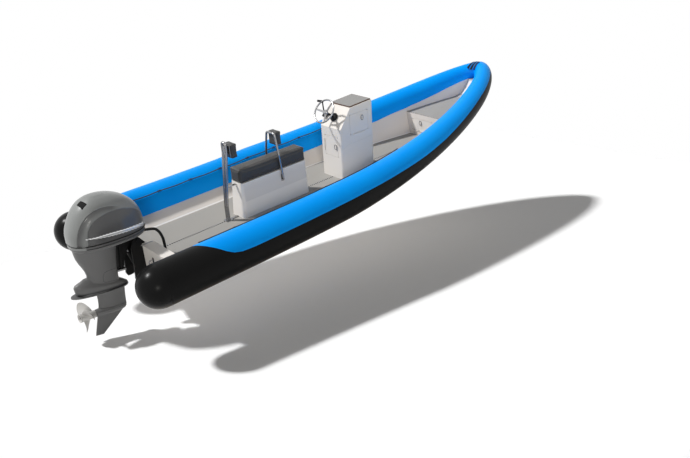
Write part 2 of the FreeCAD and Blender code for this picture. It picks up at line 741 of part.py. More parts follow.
def build_console():
    aft, front = s.console_aft, s.console_aft + s.console_length
    foot, wall = s.deck_height, s.console_wall
    outline = [(aft, foot), (front, foot), (front, s.console_top), (s.dash_top_x, s.dash_top_height),
               (aft, s.console_knee)]
    outer = pad("XZ", outline, -s.console_half_width, s.console_half_width,
                [(s.console_wall * 1.6, along(Z))])
    inner = pad("XZ", [(aft + wall, foot - 5), (front - wall, foot - 5), (front - wall, s.console_top - wall),
                       (s.dash_top_x + wall * 0.5, s.dash_top_height - wall), (aft + wall, s.console_knee - wall * 0.5)],
                wall - s.console_half_width, s.console_half_width - wall)
    side_hole = box((s.side_hatch_aft, s.side_hatch_aft + s.side_hatch_length),
                    (-s.console_half_width - 5, wall - s.console_half_width + 1),
                    (s.side_hatch_foot, s.side_hatch_foot + s.side_hatch_height))
    aft_hole = box((aft - 5, aft + wall + 1), (-s.aft_hatch_half_width, s.aft_hatch_half_width),
                   (s.aft_hatch_foot, s.aft_hatch_foot + s.aft_hatch_height))
    shell = cut(cut(cut(outer, inner), side_hole), aft_hole)
    keep("console_body", fuse([shell] + [solid(piece) for piece in side_hinge()[1] + aft_hinge()[1]]))
    slope = math.degrees(math.atan2(float(s.console_top - s.dash_top_height), float(front - s.dash_top_x)))
    lid = doc.addObject("Part::Box", "Lid")
    bind(lid, "Length", front - s.dash_top_x - 24)
    bind(lid, "Width", s.console_half_width * 2 - 40)
    bind(lid, "Height", s.top_pad_thickness)
    place(lid, s.dash_top_x + 12, 20 - s.console_half_width, s.dash_top_height + 1.0, Rotation(Y, -slope))
    keep("console_top_pad", lid)


def block(u, v, n, u_span, v_span, n_span, centre):
    """A box in a frame of three square directions."""
    form = Part.makeBox(u_span[1] - u_span[0], v_span[1] - v_span[0], n_span[1] - n_span[0],
                        Vector(u_span[0], v_span[0], n_span[0]))
    form = form.transformGeometry(Placement(centre, Rotation(u, v, n, "ZXY")).toMatrix())
    return form


def hinge_halves(centre, u, v, n, length):
    """Leaf and barrels of a surface hinge: the hatch's half and the frame's half.

    The centre lies on the face under the hinge line. u runs along the hinge, v
    points to the hatch and n out of the face."""
    radius, height, reach = float(s.hinge_radius), float(s.hinge_height), float(s.hinge_reach)
    panel = reach + float(s.hatch_gap)
    if u.cross(v).dot(n) < 0:
        u = u * -1
    third = length / 6
    axis = centre + n * height
    hatch = [Part.makeCylinder(radius, 2 * third - 0.6, axis - u * (third - 0.3), u),
             block(u, v, n, (0.3 - third, third - 0.3), (-1.4, panel + 14), (0.9, 3), centre),
             block(u, v, n, (0.3 - third, third - 0.3), (panel + 4, panel + 14), (-2, 3), centre)]
    frame = []
    for low, high in ((-3 * third, -third), (third, 3 * third)):
        frame += [Part.makeCylinder(radius, high - low, axis + u * low, u),
                  block(u, v, n, (low, high), (-14, 1), (-1, 3), centre)]
    return hatch, frame


def hatch_panel(node, role, outline, low, high, leaf, latch):
    """A hatch with rounded corners, its half of the hinge and its latch."""
    body = pad(role, outline, low, high, [(s.hatch_thickness * 2.4, along({"XZ": Y, "YZ": X}[role]))])
    return keep(node, fuse([body, latch] + [solid(piece) for piece in leaf]))


def side_hinge():
    centre = Vector(float(s.side_hatch_aft + s.side_hatch_length * 0.5), -float(s.console_half_width),
                    float(s.side_hatch_foot - s.hinge_reach))
    return hinge_halves(centre, X, Z, -Y, float(s.side_hatch_length) * 0.6)


def aft_hinge():
    centre = Vector(float(s.console_aft), float(s.aft_hatch_half_width + s.hinge_reach),
                    float(s.aft_hatch_foot + s.aft_hatch_height * 0.5))
    return hinge_halves(centre, Z, -Y, -X, float(s.aft_hatch_height) * 0.6)


def locker_hinge():
    centre = Vector(float(s.locker_face), float(s.locker_hatch_port - s.locker_hatch_width * 0.5),
                    float(s.locker_hatch_foot - s.hinge_reach))
    return hinge_halves(centre, Y, Z, -X, float(s.locker_hatch_width) * 0.6)


def build_console_hatches():
    gap, thick = s.hatch_gap, s.hatch_thickness
    low_x, high_x = s.side_hatch_aft + gap, s.side_hatch_aft + s.side_hatch_length - gap
    low_z, high_z = s.side_hatch_foot + gap, s.side_hatch_foot + s.side_hatch_height - gap
    outline = [(low_x, low_z), (high_x, low_z), (high_x, high_z), (low_x, high_z)]
    face = -s.console_half_width
    latch = box((low_x + s.side_hatch_length * 0.6, low_x + s.side_hatch_length * 0.6 + 34), (face - 9, face + 2),
                (low_z + s.side_hatch_height * 0.58, low_z + s.side_hatch_height * 0.58 + 60))
    hatch_panel("console_side_hatch", "XZ", outline, face, face + thick, side_hinge()[0], latch)
    half = s.aft_hatch_half_width - gap
    low_z, high_z = s.aft_hatch_foot + gap, s.aft_hatch_foot + s.aft_hatch_height - gap
    outline = [(-half, low_z), (half, low_z), (half, high_z), (-half, high_z)]
    latch = box((s.console_aft - 9, s.console_aft + 2), (-half + 24, -half + 50),
                (low_z + s.aft_hatch_height * 0.4, low_z + s.aft_hatch_height * 0.6))
    hatch_panel("console_aft_hatch", "YZ", outline, s.console_aft, s.console_aft + thick, aft_hinge()[0], latch)


def build_locker_hatch():
    gap, face = s.hatch_gap, s.locker_face
    low_y, high_y = s.locker_hatch_port - s.locker_hatch_width + gap, s.locker_hatch_port - gap
    low_z, high_z = s.locker_hatch_foot + gap, s.locker_hatch_foot + s.locker_hatch_height - gap
    outline = [(low_y, low_z), (high_y, low_z), (high_y, high_z), (low_y, high_z)]
    latch = box((face - 9, face + 2), (low_y + s.locker_hatch_width * 0.52, low_y + s.locker_hatch_width * 0.52 + 34),
                (high_z - 75, high_z - 20))
    hatch_panel("bow_locker_hatch", "YZ", outline, face, face + s.hatch_thickness, locker_hinge()[0], latch)


def dash_frame():
    """Helm's foot on the dash and the direction out of the dash."""
    low = Vector(float(s.console_aft), 0, float(s.console_knee))
    high = Vector(float(s.dash_top_x), 0, float(s.dash_top_height))
    run = high - low
    out = Vector(-run.z, 0, run.x).normalize()
    return low + run * float(s.helm_height), out, run.normalize()


def build_helm():
    foot, out, _ = dash_frame()
    start = foot + out * float(s.seat_gap)
    reach = float(s.wheel_reach)
    plate = Part.makeCylinder(52, 14, start, out)
    boot = Part.makeCone(40, 22, 46, start + out * 14, out)
    column = Part.makeCylinder(15, reach - 60 - 50, start + out * 60, out)
    keep("helm_boss", solid(plate.fuse([boot, column]).removeSplitter()))
    wheel = wheel_shape()
    wheel.Placement = Placement(foot + out * reach, Rotation(Z, out))
    keep("steering_wheel", solid(wheel))


def wheel_shape():
    """Rim, three flat spokes and a dished hub, about +Z."""
    rim = Part.makeTorus(float(s.wheel_radius), float(s.wheel_rim))
    hub = Part.makeCylinder(34, 18, Vector(0, 0, -46))
    cap = Part.makeCone(30, 22, 8, Vector(0, 0, -28))
    socket = Part.makeCylinder(17, 20, Vector(0, 0, -52))
    bore = Part.makeCylinder(15 + float(s.bearing_gap), 12, Vector(0, 0, -52.5))
    pieces = [hub, cap, socket.cut(bore)]
    for turn in (90, 210, 330):
        side = [Vector(20, -16, -40), Vector(float(s.wheel_radius) - 2, -11, -3), Vector(float(s.wheel_radius) - 2, -11, 3),
                Vector(20, -16, -32)]
        other = [Vector(v.x, -v.y, v.z) for v in side]
        spoke = loft([polygon([tuple(v) for v in side]), polygon([tuple(v) for v in other])], True)
        spoke.rotate(Vector(0, 0, 0), Z, turn)
        pieces.append(spoke)
    return rim.fuse(pieces).removeSplitter()


def build_throttle():
    """Control box on the dash with its fixed lever."""
    foot, out, run = dash_frame()
    start = foot + out * float(s.seat_gap) + Y * 168
    base = Part.makeBox(70, 50, 46, Vector(-35, -25, 0))
    base.Placement = Placement(start, Rotation(Z, out))
    side = start + out * 30
    lever = tube_along([tuple(side), tuple(side + Vector(-20, 0, 100)), tuple(side + Vector(-30, 0, 195))], 9, 60)
    grip = Part.makeCylinder(15, 105, side + Vector(-20, 0, 188), Vector(-1, -0.1, 0.35))
    keep("throttle_control", solid(base.fuse([lever, grip]).removeSplitter()))


# The seat and its backrests

def rounded_rectangle(x, y, z, corner):
    """Flat wire between pairs of low and high places, with round corners."""
    (x0, x1), (y0, y1) = x, y
    points = []
    for cx, cy, start in ((x1 - corner, y1 - corner, 0), (x0 + corner, y1 - corner, 90),
                          (x0 + corner, y0 + corner, 180), (x1 - corner, y0 + corner, 270)):
        arc = [math.radians(start + turn) for turn in (0, 45, 90)]
        points.append([Vector(cx + corner * math.cos(a), cy + corner * math.sin(a), z) for a in arc])
    edges = []
    for here, there in zip(points, points[1:] + points[:1]):
        edges.append(Part.Arc(*here).toShape())
        edges.append(Part.LineSegment(here[2], there[0]).toShape())
    return Part.Wire(edges)


def build_seat():
    low, high = float(s.deck_height + s.seat_gap), float(s.seat_height)
    x0, x1 = float(s.seat_aft), float(s.seat_aft + s.seat_length)
    half, flare = float(s.seat_half_width), float(s.seat_flare)
    foot = rounded_rectangle((x0 - flare, x1 + flare * 0.7), (-half - flare, half + flare), low, 55)
    top = rounded_rectangle((x0, x1), (-half, half), high, 40)
    keep("seat_pod", solid(loft([foot, top], True)))
    rest = s.seat_height + s.seat_gap
    outline = [(s.seat_aft, rest), (s.seat_aft + s.seat_length, rest),
               (s.seat_aft + s.seat_length, rest + s.cushion_thickness), (s.seat_aft, rest + s.cushion_thickness)]
    keep("seat_cushion", pad("XZ", outline, -s.seat_half_width, s.seat_half_width,
                             [(s.cushion_thickness * 0.07, lambda e: True)]))


def build_backrests():
    """Middle backrest: two legs outside the seat, bent over at the top."""
    x, foot, top = float(s.mid_backrest_x), float(s.mid_backrest_foot), float(s.mid_backrest_top)
    lean, leg = float(s.mid_backrest_lean), float(s.backrest_leg)
    share = (foot - 20 - float(s.deck_height)) / float(s.seat_height - s.deck_height)
    out = float(s.seat_half_width) + float(s.seat_flare) * (1 - share) + leg + 6.5
    knee = foot + 0.56 * (top - foot)
    wide, narrow = float(s.seat_half_width) + leg + 4, float(s.pad_half_width) - 6
    path = [(x, -out, foot), (x - lean, -wide, knee), (x - lean, -narrow, top), (x - lean, narrow, top),
            (x - lean, wide, knee), (x, out, foot)]
    frame = tube_along(path, leg, 32)
    plates = [Part.makeBox(44, 6, 95, Vector(x - 22, side * (out - leg - 3) - 3, foot - 20)) for side in (1, -1)]
    lugs = [Part.makeCylinder(12, leg, Vector(x, side * (out - leg), foot + 22), Y * side) for side in (1, -1)]
    keep("mid_backrest_frame", solid(frame.fuse(plates + lugs).removeSplitter()))
    backrest_pad("mid_backrest_pad", s.mid_backrest_x - s.mid_backrest_lean + s.backrest_leg + s.seat_gap,
                 s.mid_backrest_top - s.pad_height + 12)
    build_rear_backrest()


def backrest_pad(node, x, z):
    outline = [(x, z), (x + s.pad_thickness, z), (x + s.pad_thickness, z + s.pad_height), (x, z + s.pad_height)]
    body = pad("XZ", outline, -s.pad_half_width, s.pad_half_width, [(s.pad_thickness * 0.15, lambda e: True)])
    return keep(node, body)


def build_rear_backrest():
    """Twin-tube post on the centreline with two struts to the seat."""
    x, lean, leg = float(s.rear_post_x), float(s.rear_post_lean), float(s.backrest_leg) * 1.3
    low, top, half = float(s.deck_height + s.seat_gap), float(s.rear_post_top), float(s.rear_post_spread)
    path = [(x, -leg, low), (x, -leg, low + 200), (x + lean, -half, top - 120), (x + lean, -half, top),
            (x + lean, half, top), (x + lean, half, top - 120), (x, leg, low + 200), (x, leg, low)]
    frame = tube_along(path, leg, 26)
    seat = float(s.seat_aft)
    flare = float(s.seat_flare)
    strut_z = float(s.seat_height) - 26
    share = (strut_z - low) / (float(s.seat_height) - low)
    reach = seat - flare * (1 - share) - x
    struts = [Part.makeBox(reach - 0.4 - 8, 36, 8, Vector(x + 8, -18, strut_z)),
              Part.makeBox(seat - flare - x - 0.4, 36, 8, Vector(x, -18, low)),
              Part.makeBox(90, 90, 6, Vector(x - 45, -45, low))]
    rod = [Part.makeCylinder(9, 41.4 + leg * 0.2, Vector(x + lean - 6, 0, top - dz), X) for dz in (60, 150)]
    bar = [Part.makeBox(10, 60, 150, Vector(x + lean - 9, -30, top - 190)),
           Part.makeBox(6, 120, 150, Vector(x + lean + leg * 0.2 + 29.5, -60, top - 190))]
    keep("rear_backrest_frame", solid(frame.fuse(struts + rod + bar).removeSplitter()))
    backrest_pad("rear_backrest_pad", s.rear_post_x + s.rear_post_lean + s.backrest_leg * 0.23 + 36 + s.seat_gap,
                 s.rear_post_top - s.pad_height - 26)


# Rope, hose and deck fittings

def build_lifelines():
    """Rope along the inner side of the tube, held at patches with a little sag."""
    reach = float(s.rope_radius) + 4.5
    span, start = float(s.rope_span), float(s.rope_aft)
    points = []
    for i in range(15):
        x = start + span * i / 2
        sag = float(s.rope_sag) if i % 2 else 0.0
        points.append(tuple(tube_point(x, float(s.rope_angle) + sag, reach)))
    rope = tube_along(points, s.rope_radius, 4000)
    pads = [patch(start + span * i) for i in range(8)]
    shape = rope
    mirrored("lifeline_starboard", keep("lifeline_port", solid(shape.fuse(pads))))


def patch(x):
    """Small rubber patch that holds the rope against the tube."""
    centre = tube_point(x, float(s.rope_angle), 0.5)
    middle, _, up, forward = tube_frame(x, tube_half_width(x))
    out = (centre - middle).normalize()
    block = Part.makeBox(60, 44, 12, Vector(-30, -22, 0.8))
    turn = Rotation(forward, out.cross(forward), out, "ZXY")
    block.Placement = Placement(centre, turn)
    return block.makeFillet(5, [e for e in block.Edges if e.CenterOfMass.distanceToPoint(centre) > 0
                                and abs((e.Vertexes[0].Point - e.Vertexes[1].Point).normalize().dot(out)) > 0.9])


def build_bow_patch():
    """Rubber pad that follows the top of the bow."""
    skin = bow_chamber(9.0).cut(bow_chamber(float(s.seat_gap)))
    window = Part.makeBox(190, 125, 200, Vector(float(s.tube_bow) - 205, -15, tube_level(float(s.tube_bow)) + 60))
    keep("bow_patch", solid(upright(largest(skin.common(window)))))


def hose_route():
    exit_x, exit_z = float(s.tilt_x) + 158.6, float(s.tilt_z) + 69
    return [(exit_x - 90, -80, exit_z), (exit_x + 55, -128, exit_z + 2), (exit_x + 98, -160, exit_z - 38),
            (exit_x + 116, -190, exit_z - 100), (exit_x + 120, -208, exit_z - 175),
            (exit_x + 120, -208, float(s.deck_height) + 60.8)]


def build_hose():
    """Rigging hose from the motor's lower cowl over the transom to the deck."""
    route = hose_route()
    pan = nodes["lower_cowl"].Shape.copy()
    pan.translate(Vector(float(s.seat_gap), 0, 0))
    free = tube_along(route, s.hose_radius, 90).cut(pan)
    keep("rigging_hose", solid(max(free.Solids, key=lambda piece: piece.CenterOfMass.x)))
    x, y, z = route[-1]
    low = float(s.deck_height + s.seat_gap)
    boot = Part.makeCone(36, 22, z - low - 6 - 0.4, Vector(x, y, low + 6))
    plate = Part.makeCylinder(46, 6, Vector(x, y, low))
    keep("hose_deck_boot", solid(boot.fuse(plate).removeSplitter()))


def build_eyes():
    """Towing eyes on the transom and the bow eye on the stem."""
    for node, side in (("towing_eye_port", 1), ("towing_eye_starboard", -1)):
        y = 330 * side
        keep(node, solid(eye(Vector(-float(s.seat_gap), y, 120), -X, Z)))
    foot, run = keel_run(5800.0)
    out = Vector(run.z, 0, -run.x)
    keep("bow_eye", solid(eye(foot + out * float(s.seat_gap), out, run)))


def eye(foot, out, along_axis):
    """A U-bolt with its plate."""
    side = along_axis * 32
    path = [tuple(foot + side), tuple(foot + side + out * 55), tuple(foot - side + out * 55), tuple(foot - side)]
    bolt = tube_along(path, 6, 28)
    plate = Part.makeBox(100, 34, 5, Vector(-50, -17, 0))
    plate.Placement = Placement(foot, Rotation(along_axis, out.cross(along_axis), out, "ZXY"))
    return bolt.fuse(plate).removeSplitter()


# The outboard motor, drawn upright about its tilt axis and then trimmed

def on_motor(node, obj):
    hung = Placement(Vector(float(s.tilt_x), 0, float(s.tilt_z)), Rotation(Y, float(s.trim_angle)))
    obj.Placement = hung.multiply(obj.Placement)
    return keep(node, obj)


def plan_wire(z, low, high, half, square=2.5, count=16, centre=0.45):
    """Closed curve in a level plane: a softened rectangle between two ends."""
    middle = low + (high - low) * centre
    points = []
    for i in range(count):
        angle = 2 * math.pi * i / count
        c, d = math.cos(angle), math.sin(angle)
        reach = high - middle if c > 0 else middle - low
        points.append(Vector(middle + math.copysign(abs(c) ** (2 / square), c) * reach,
                             math.copysign(abs(d) ** (2 / square), d) * half, z))
    curve = Part.BSplineCurve()
    curve.interpolate(points, PeriodicFlag=True)
    return Part.Wire([curve.toShape()])


# Shares of the cowl's height, front end, rear end and half width, from the seam up.
COWL_SECTIONS = [(0.0, 1.0, 1.0, 1.0), (0.14, 0.99, 1.02, 1.035), (0.33, 0.955, 1.01, 1.03), (0.54, 0.875, 0.92, 0.985),
                 (0.72, 0.72, 0.80, 0.89), (0.86, 0.51, 0.65, 0.74), (0.95, 0.26, 0.48, 0.52), (1.0, 0.02, 0.34, 0.27)]


def cowl_form(inset):
    half, width, height = (float(v) for v in (s.cowl_half_length, s.cowl_half_width, s.cowl_height))
    wires = []
    for up, front, rear, side in COWL_SECTIONS:
        z = up * (height - inset)
        wires.append(plan_wire(z, -rear * half + inset, front * half - inset, side * width - inset))
    return loft(wires)


def seat_on_seam(shape):
    shape.rotate(Vector(0, 0, 0), Y, -float(s.cowl_pitch))
    shape.translate(Vector(float(s.cowl_centre_x), 0, float(s.cowl_seam_z)))
    return shape


def build_cowls():
    outer = cowl_form(0.0)
    inner = cowl_form(float(s.cowl_wall))
    below = Part.makeBox(2000, 2000, 50, Vector(-1000, -1000, -50 + float(s.seat_gap)))
    on_motor("top_cowl", solid(seat_on_seam(outer.cut([inner, below]))))
    half, width, depth = float(s.cowl_half_length), float(s.cowl_half_width), float(s.pan_depth)
    pan = loft([plan_wire(0, -half, half, width), plan_wire(-depth * 0.5, -half * 0.99, half * 0.99, width * 0.98),
                plan_wire(-depth, -half * 0.94, half * 0.95, width * 0.9)])
    on_motor("lower_cowl", solid(seat_on_seam(pan)))
    block = Part.makeBox(480, 300, 330, Vector(-270, -150, float(s.seat_gap)))
    on_motor("powerhead", solid(seat_on_seam(block)))


def leg_wire(z, front, rear, half, square=2.4):
    return plan_wire(z, rear, front, half, square, 12, 0.55)


def build_midsection():
    """The leg between the lower cowl and the cavitation plate."""
    front, gap = float(s.leg_front), float(s.seat_gap)
    top, foot = 0.0, float(s.plate_z) + gap + float(s.plate_thickness)
    under = float(s.pan_depth) + gap
    crown = seat_on_seam(leg_wire(-under, front - float(s.cowl_centre_x), -690 - float(s.cowl_centre_x), 150))
    wires = [crown, leg_wire(top - 60, front, -672, 120),
             leg_wire(top - 200, front, -610, 90), leg_wire(top - 350, front, -560, 78),
             leg_wire(top - 430, front + 5, -590, 80), leg_wire(foot, front + 30, -680, 92)]
    form = loft(wires)
    on_motor("midsection", solid(form.copy()))
    axis_x = -float(s.swivel_offset)
    shaft_top, shaft_foot = float(s.swivel_top), float(s.swivel_bottom)
    shaft = Part.makeCylinder(float(s.steering_shaft), shaft_top - shaft_foot + 41, Vector(axis_x, 0, shaft_foot - 22))
    upper = Part.makeBox(110, 96, 18, Vector(axis_x - 70, -48, shaft_top + 1))
    lower = Part.makeBox(100, 110, 20, Vector(axis_x - 70, -55, shaft_foot - 22))
    form.translate(Vector(float(s.seat_gap), 0, 0))
    yoke = shaft.fuse([upper, lower]).cut(form)
    on_motor("steering_shaft", solid(largest(yoke)))


def build_gearcase():
    """Cavitation plate, strut, gearcase and skeg."""
    plate_z, thick = float(s.plate_z), float(s.plate_thickness)
    front, rear, radius = float(s.gearcase_front), float(s.gearcase_rear), float(s.gearcase_radius)
    shaft_z = float(s.shaft_z)
    plate = loft([plan_wire(plate_z, -757, -90, 105, 2.2, 16, 0.6),
                  plan_wire(plate_z + thick, -757, -90, 105, 2.2, 16, 0.6)])
    strut = loft([leg_wire(plate_z + 2, front - 5, -480, 44, 2.0), leg_wire(-650, front - 8, -462, 30, 2.0),
                  leg_wire(shaft_z + 10, front, -470, 36, 2.0)])
    nose = [(front, 0), (front - 18, radius * 0.55), (front - 70, radius * 0.92), (front - 150, radius),
            (rear + 60, radius), (rear, radius * 0.86)]
    curve = Part.BSplineCurve()
    curve.interpolate([Vector(x, 0, r) for x, r in nose])
    edges = [curve.toShape(), Part.LineSegment(Vector(rear, 0, nose[-1][1]), Vector(rear, 0, 0)).toShape(),
             Part.LineSegment(Vector(rear, 0, 0), Vector(front, 0, 0)).toShape()]
    torpedo = Part.Face(Part.Wire(edges)).revolve(Vector(0, 0, 0), X, 360)
    torpedo.translate(Vector(0, 0, shaft_z))
    skeg_z = float(s.skeg_z)
    outline = [(front - 22, shaft_z - 20), (-434, skeg_z), (-524, skeg_z + 6), (-478, shaft_z - 20)]
    skeg = slab([(x, -7, z) for x, z in outline], (0, 14, 0))
    shape = plate.fuse([strut, torpedo, skeg]).removeSplitter()
    on_motor("gearcase", solid(largest(shape)))


def blade():
    """One thick twisted blade along +Z, about the shaft's X axis."""
    pitch, tip = float(s.blade_pitch), float(s.propeller_radius)
    wires = []
    for share, chord, thick in ((0.20, 92, 15), (0.42, 150, 11), (0.66, 178, 8), (0.86, 142, 6), (0.985, 50, 4)):
        radius = share * tip
        lean = math.atan2(pitch, 2 * math.pi * radius)
        ring = []
        for u, v in ((-0.5, 0), (-0.25, 0.8), (0.1, 1), (0.5, 0.25), (0.5, -0.25), (0.1, -0.3), (-0.25, -0.25)):
            across, off = u * chord, v * thick / 2
            x = across * math.sin(lean) + off * math.cos(lean)
            ring.append((x, across * math.cos(lean) - off * math.sin(lean), radius))
        wires.append(polygon(ring))
    return loft(wires)


def build_propeller():
    rear, gap = float(s.gearcase_rear), 6.0
    middle = rear - gap - float(s.hub_length) * 0.55
    hub = Part.makeCone(float(s.hub_radius), float(s.hub_radius) * 0.9, float(s.hub_length),
                        Vector(rear - gap, 0, 0), -X)
    shaft = Part.makeCylinder(13, 12, Vector(rear - gap, 0, 0), X).cut(
        Part.makeCylinder(14, 20, Vector(rear - float(s.seat_gap), 0, 0), X))
    blades = []
    for turn in (60, 180, 300):
        piece = blade()
        piece.translate(Vector(middle, 0, 0))
        piece.rotate(Vector(0, 0, 0), X, turn)
        blades.append(piece)
    shape = hub.fuse(blades + [shaft]).removeSplitter()
    shape.translate(Vector(0, 0, float(s.shaft_z)))
    on_motor("propeller", solid(largest(shape)))


def clamp_outline():
    """Side view of a clamp plate, in the boat's frame."""
    x, z = s.tilt_x, s.tilt_z
    foot = s.tilt_z - s.clamp_drop
    rest = s.transom_seat + s.seat_gap
    return [(-s.seat_gap, foot + 60), (-s.seat_gap, rest), (40, rest), (34, rest + 12),
            (x + 34, z + 16), (x + 8, z + 30), (x - 26, z + 30), (x - 52, z), (x - 84, z - 80), (x - 92, z - 300),
            (x - 102, foot + 40), (x - 84, foot), (x - 20, foot)]


def build_clamp_bracket():
    half, plate = s.clamp_half_width, s.clamp_plate
    sides = [pad("XZ", clamp_outline(), half - plate, half), pad("XZ", clamp_outline(), -half, plate - half)]
    tube = cylinder(s.tilt_tube_radius, half * 2 + 40, (s.tilt_x, -half - 20, s.tilt_z), Y)
    web = box((-s.seat_gap - 14, -s.seat_gap), (-half + plate, half - plate), (60, 180))
    pin = cylinder(11, (half - plate) * 2, (s.cylinder_foot_x, plate - half, s.cylinder_foot_z), Y)
    keep("clamp_bracket", fuse(sides + [tube, web, pin]))


def build_swivel_bracket():
    """Hub round the tilt tube, webs and the swivel tube."""
    axis_x, half = -float(s.swivel_offset), float(s.swivel_half_width)
    top, foot, outer = float(s.swivel_top), float(s.swivel_bottom), float(s.swivel_radius)
    hub = Part.makeCylinder(32, half * 2, Vector(0, -half, 0), Y)
    swivel = Part.makeCylinder(outer, top - foot, Vector(axis_x, 0, foot))
    profile = [(-4, 30), (-60, 22), (axis_x, 20), (axis_x, -300), (axis_x + 22, -240), (-60, -60), (-10, -31)]
    pieces = [hub, swivel]
    for low in (28, -44):
        pieces.append(slab([(x, low, z) for x, z in profile], (0, 16, 0)))
    shape = pieces[0].fuse(pieces[1:])
    clear = float(s.bearing_gap)
    shape = shape.cut([Part.makeCylinder(float(s.tilt_tube_radius) + clear, half * 2 + 20, Vector(0, -half - 10, 0), Y),
                       Part.makeCylinder(float(s.steering_shaft) + clear, top - foot + 20, Vector(axis_x, 0, foot - 10))])
    on_motor("swivel_bracket", solid(largest(shape.removeSplitter())))


def cylinder_line():
    """Lower pin of the tilt cylinder and the rod's eye, in the boat's frame."""
    foot = Vector(float(s.cylinder_foot_x), 0, float(s.cylinder_foot_z))
    turn = Rotation(Y, float(s.trim_angle))
    eye_place = Vector(float(s.tilt_x), 0, float(s.tilt_z)) + turn.multVec(Vector(float(s.rod_eye_x), 0, float(s.rod_eye_z)))
    return foot, eye_place


def build_tilt_cylinder():
    foot, top = cylinder_line()
    out = (top - foot).normalize()
    length, radius, rod = float(s.cylinder_length), float(s.cylinder_radius), float(s.tilt_rod)
    barrel = Part.makeCylinder(radius, length - 30, foot + out * 30, out)
    knuckle = Part.makeCylinder(21, 44, foot - Y * 22, Y)
    neck = Part.makeCylinder(16, 40, foot, out)
    bore = Part.makeCylinder(rod + float(s.bearing_gap), 175, foot + out * (length - 170), out)
    hole = Part.makeCylinder(11.1, 60, foot - Y * 30, Y)
    shape = barrel.fuse([knuckle, neck]).cut([bore, hole]).removeSplitter()
    keep("tilt_cylinder", solid(largest(shape)))
    reach = (top - foot).Length
    stem = Part.makeCylinder(rod, reach - length + 145 - 10, foot + out * (length - 145), out)
    ring = Part.makeCylinder(13, 26, top - Y * 13, Y).cut(Part.makeCylinder(6, 30, top - Y * 15, Y))
    keep("tilt_rod", solid(largest(stem.fuse(ring).removeSplitter())))


def build_all():
    build_tubes()
    build_cones()
    tubes = tube_forms(float(s.tube_gap))
    build_hull(tubes)
    build_liner(tubes)
    build_bow_locker(tubes)
    build_transom(tubes)
    build_console()
    build_console_hatches()
    build_locker_hatch()
    build_helm()
    build_throttle()
    build_seat()
    build_backrests()
    build_lifelines()
    build_bow_patch()
    build_eyes()
    build_cowls()
    build_hose()
    build_midsection()
    build_gearcase()
    build_propeller()
    build_clamp_bracket()
    build_swivel_bracket()
    build_tilt_cylinder()


def check_and_write():
    doc.recompute()
    for obj in doc.Objects:
        if "Invalid" in obj.State or "Error" in obj.State:
            raise RuntimeError("%s (%s) failed: %s" % (obj.Name, obj.Label, obj.State))
    for node, obj in nodes.items():
        if obj.Shape.isNull() or not obj.Shape.isValid():
            raise RuntimeError(node + " has no valid shape")
    os.makedirs("parts", exist_ok=True)
    for node, obj in nodes.items():
        obj.Shape.exportStep("parts/%s.step" % node)


build_all()
check_and_write()
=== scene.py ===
import math

import bmesh
import bpy
from mathutils import Matrix, Vector
from mathutils.bvhtree import BVHTree


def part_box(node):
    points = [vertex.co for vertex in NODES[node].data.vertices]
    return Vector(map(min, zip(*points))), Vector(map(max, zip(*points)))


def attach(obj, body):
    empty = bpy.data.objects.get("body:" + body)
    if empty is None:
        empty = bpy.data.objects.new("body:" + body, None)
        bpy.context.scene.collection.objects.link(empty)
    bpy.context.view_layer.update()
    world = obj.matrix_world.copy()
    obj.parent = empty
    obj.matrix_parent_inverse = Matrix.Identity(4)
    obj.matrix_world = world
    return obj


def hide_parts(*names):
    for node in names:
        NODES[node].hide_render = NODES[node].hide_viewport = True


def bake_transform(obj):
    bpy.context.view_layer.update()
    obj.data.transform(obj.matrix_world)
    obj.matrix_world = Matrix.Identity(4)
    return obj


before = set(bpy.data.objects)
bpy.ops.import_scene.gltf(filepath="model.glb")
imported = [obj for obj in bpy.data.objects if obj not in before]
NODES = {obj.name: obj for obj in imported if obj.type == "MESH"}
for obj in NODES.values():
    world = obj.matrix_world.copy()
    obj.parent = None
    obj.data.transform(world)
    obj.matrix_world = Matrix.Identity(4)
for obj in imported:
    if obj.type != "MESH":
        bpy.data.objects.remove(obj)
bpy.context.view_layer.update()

# A rigid inflatable boat with an outboard motor, dressed for a render.
# Metres throughout: bow along +X, port along +Y, up along +Z, waterline at zero.

# Sizes of the tube, the same as in the CAD part
SIDES = ((1, "port"), (-1, "starboard"))
TUBE_SPACING = 0.962
TUBE_HEIGHT = 0.201
TUBE_RADIUS = 0.239
BOW_RADIUS = 0.156
TUBE_AFT = -0.296
KNUCKLE = 2.332
BOW = 6.435
BOW_SEAM = 5.6
BOW_CORNER = 0.03
SHEER_START = 0.58
SHEER_RISE = 0.623
PLAN_POWER = 1.707
PLAN_ROOT = 0.618
SHEER_POWER = 2.633
SKIN_LIFT = 0.0012

ROPE_RADIUS = 0.007
ROPE_LIFT = 0.0045
ROPE_ANGLE = 130
ROPE_SAG = 3.5
ROPE_AFT = 0.330
ROPE_SPAN = 0.470
TAB_HALF_LENGTH = 0.030
TAB_HALF_ANGLE = 5.4
TAB_THICKNESS = 0.0016
HOSE_RADIUS = 0.016
HOSE_ROUTE = [(0.0186, -0.080, 0.414), (0.1636, -0.128, 0.416), (0.2066, -0.160, 0.376),
              (0.2246, -0.190, 0.314), (0.2286, -0.208, 0.239), (0.2286, -0.208, 0.1208)]

BLUE = (0.002, 0.30, 0.95)
BLACK = (0.012, 0.012, 0.013)
GELCOAT = (0.83, 0.785, 0.73)
DECK_GREY = (0.36, 0.345, 0.32)
LINER = (0.79, 0.735, 0.68)


def smooth_step(low, high, value):
    share = min(1.0, max(0.0, (value - low) / (high - low)))
    return share * share * (3 - 2 * share)


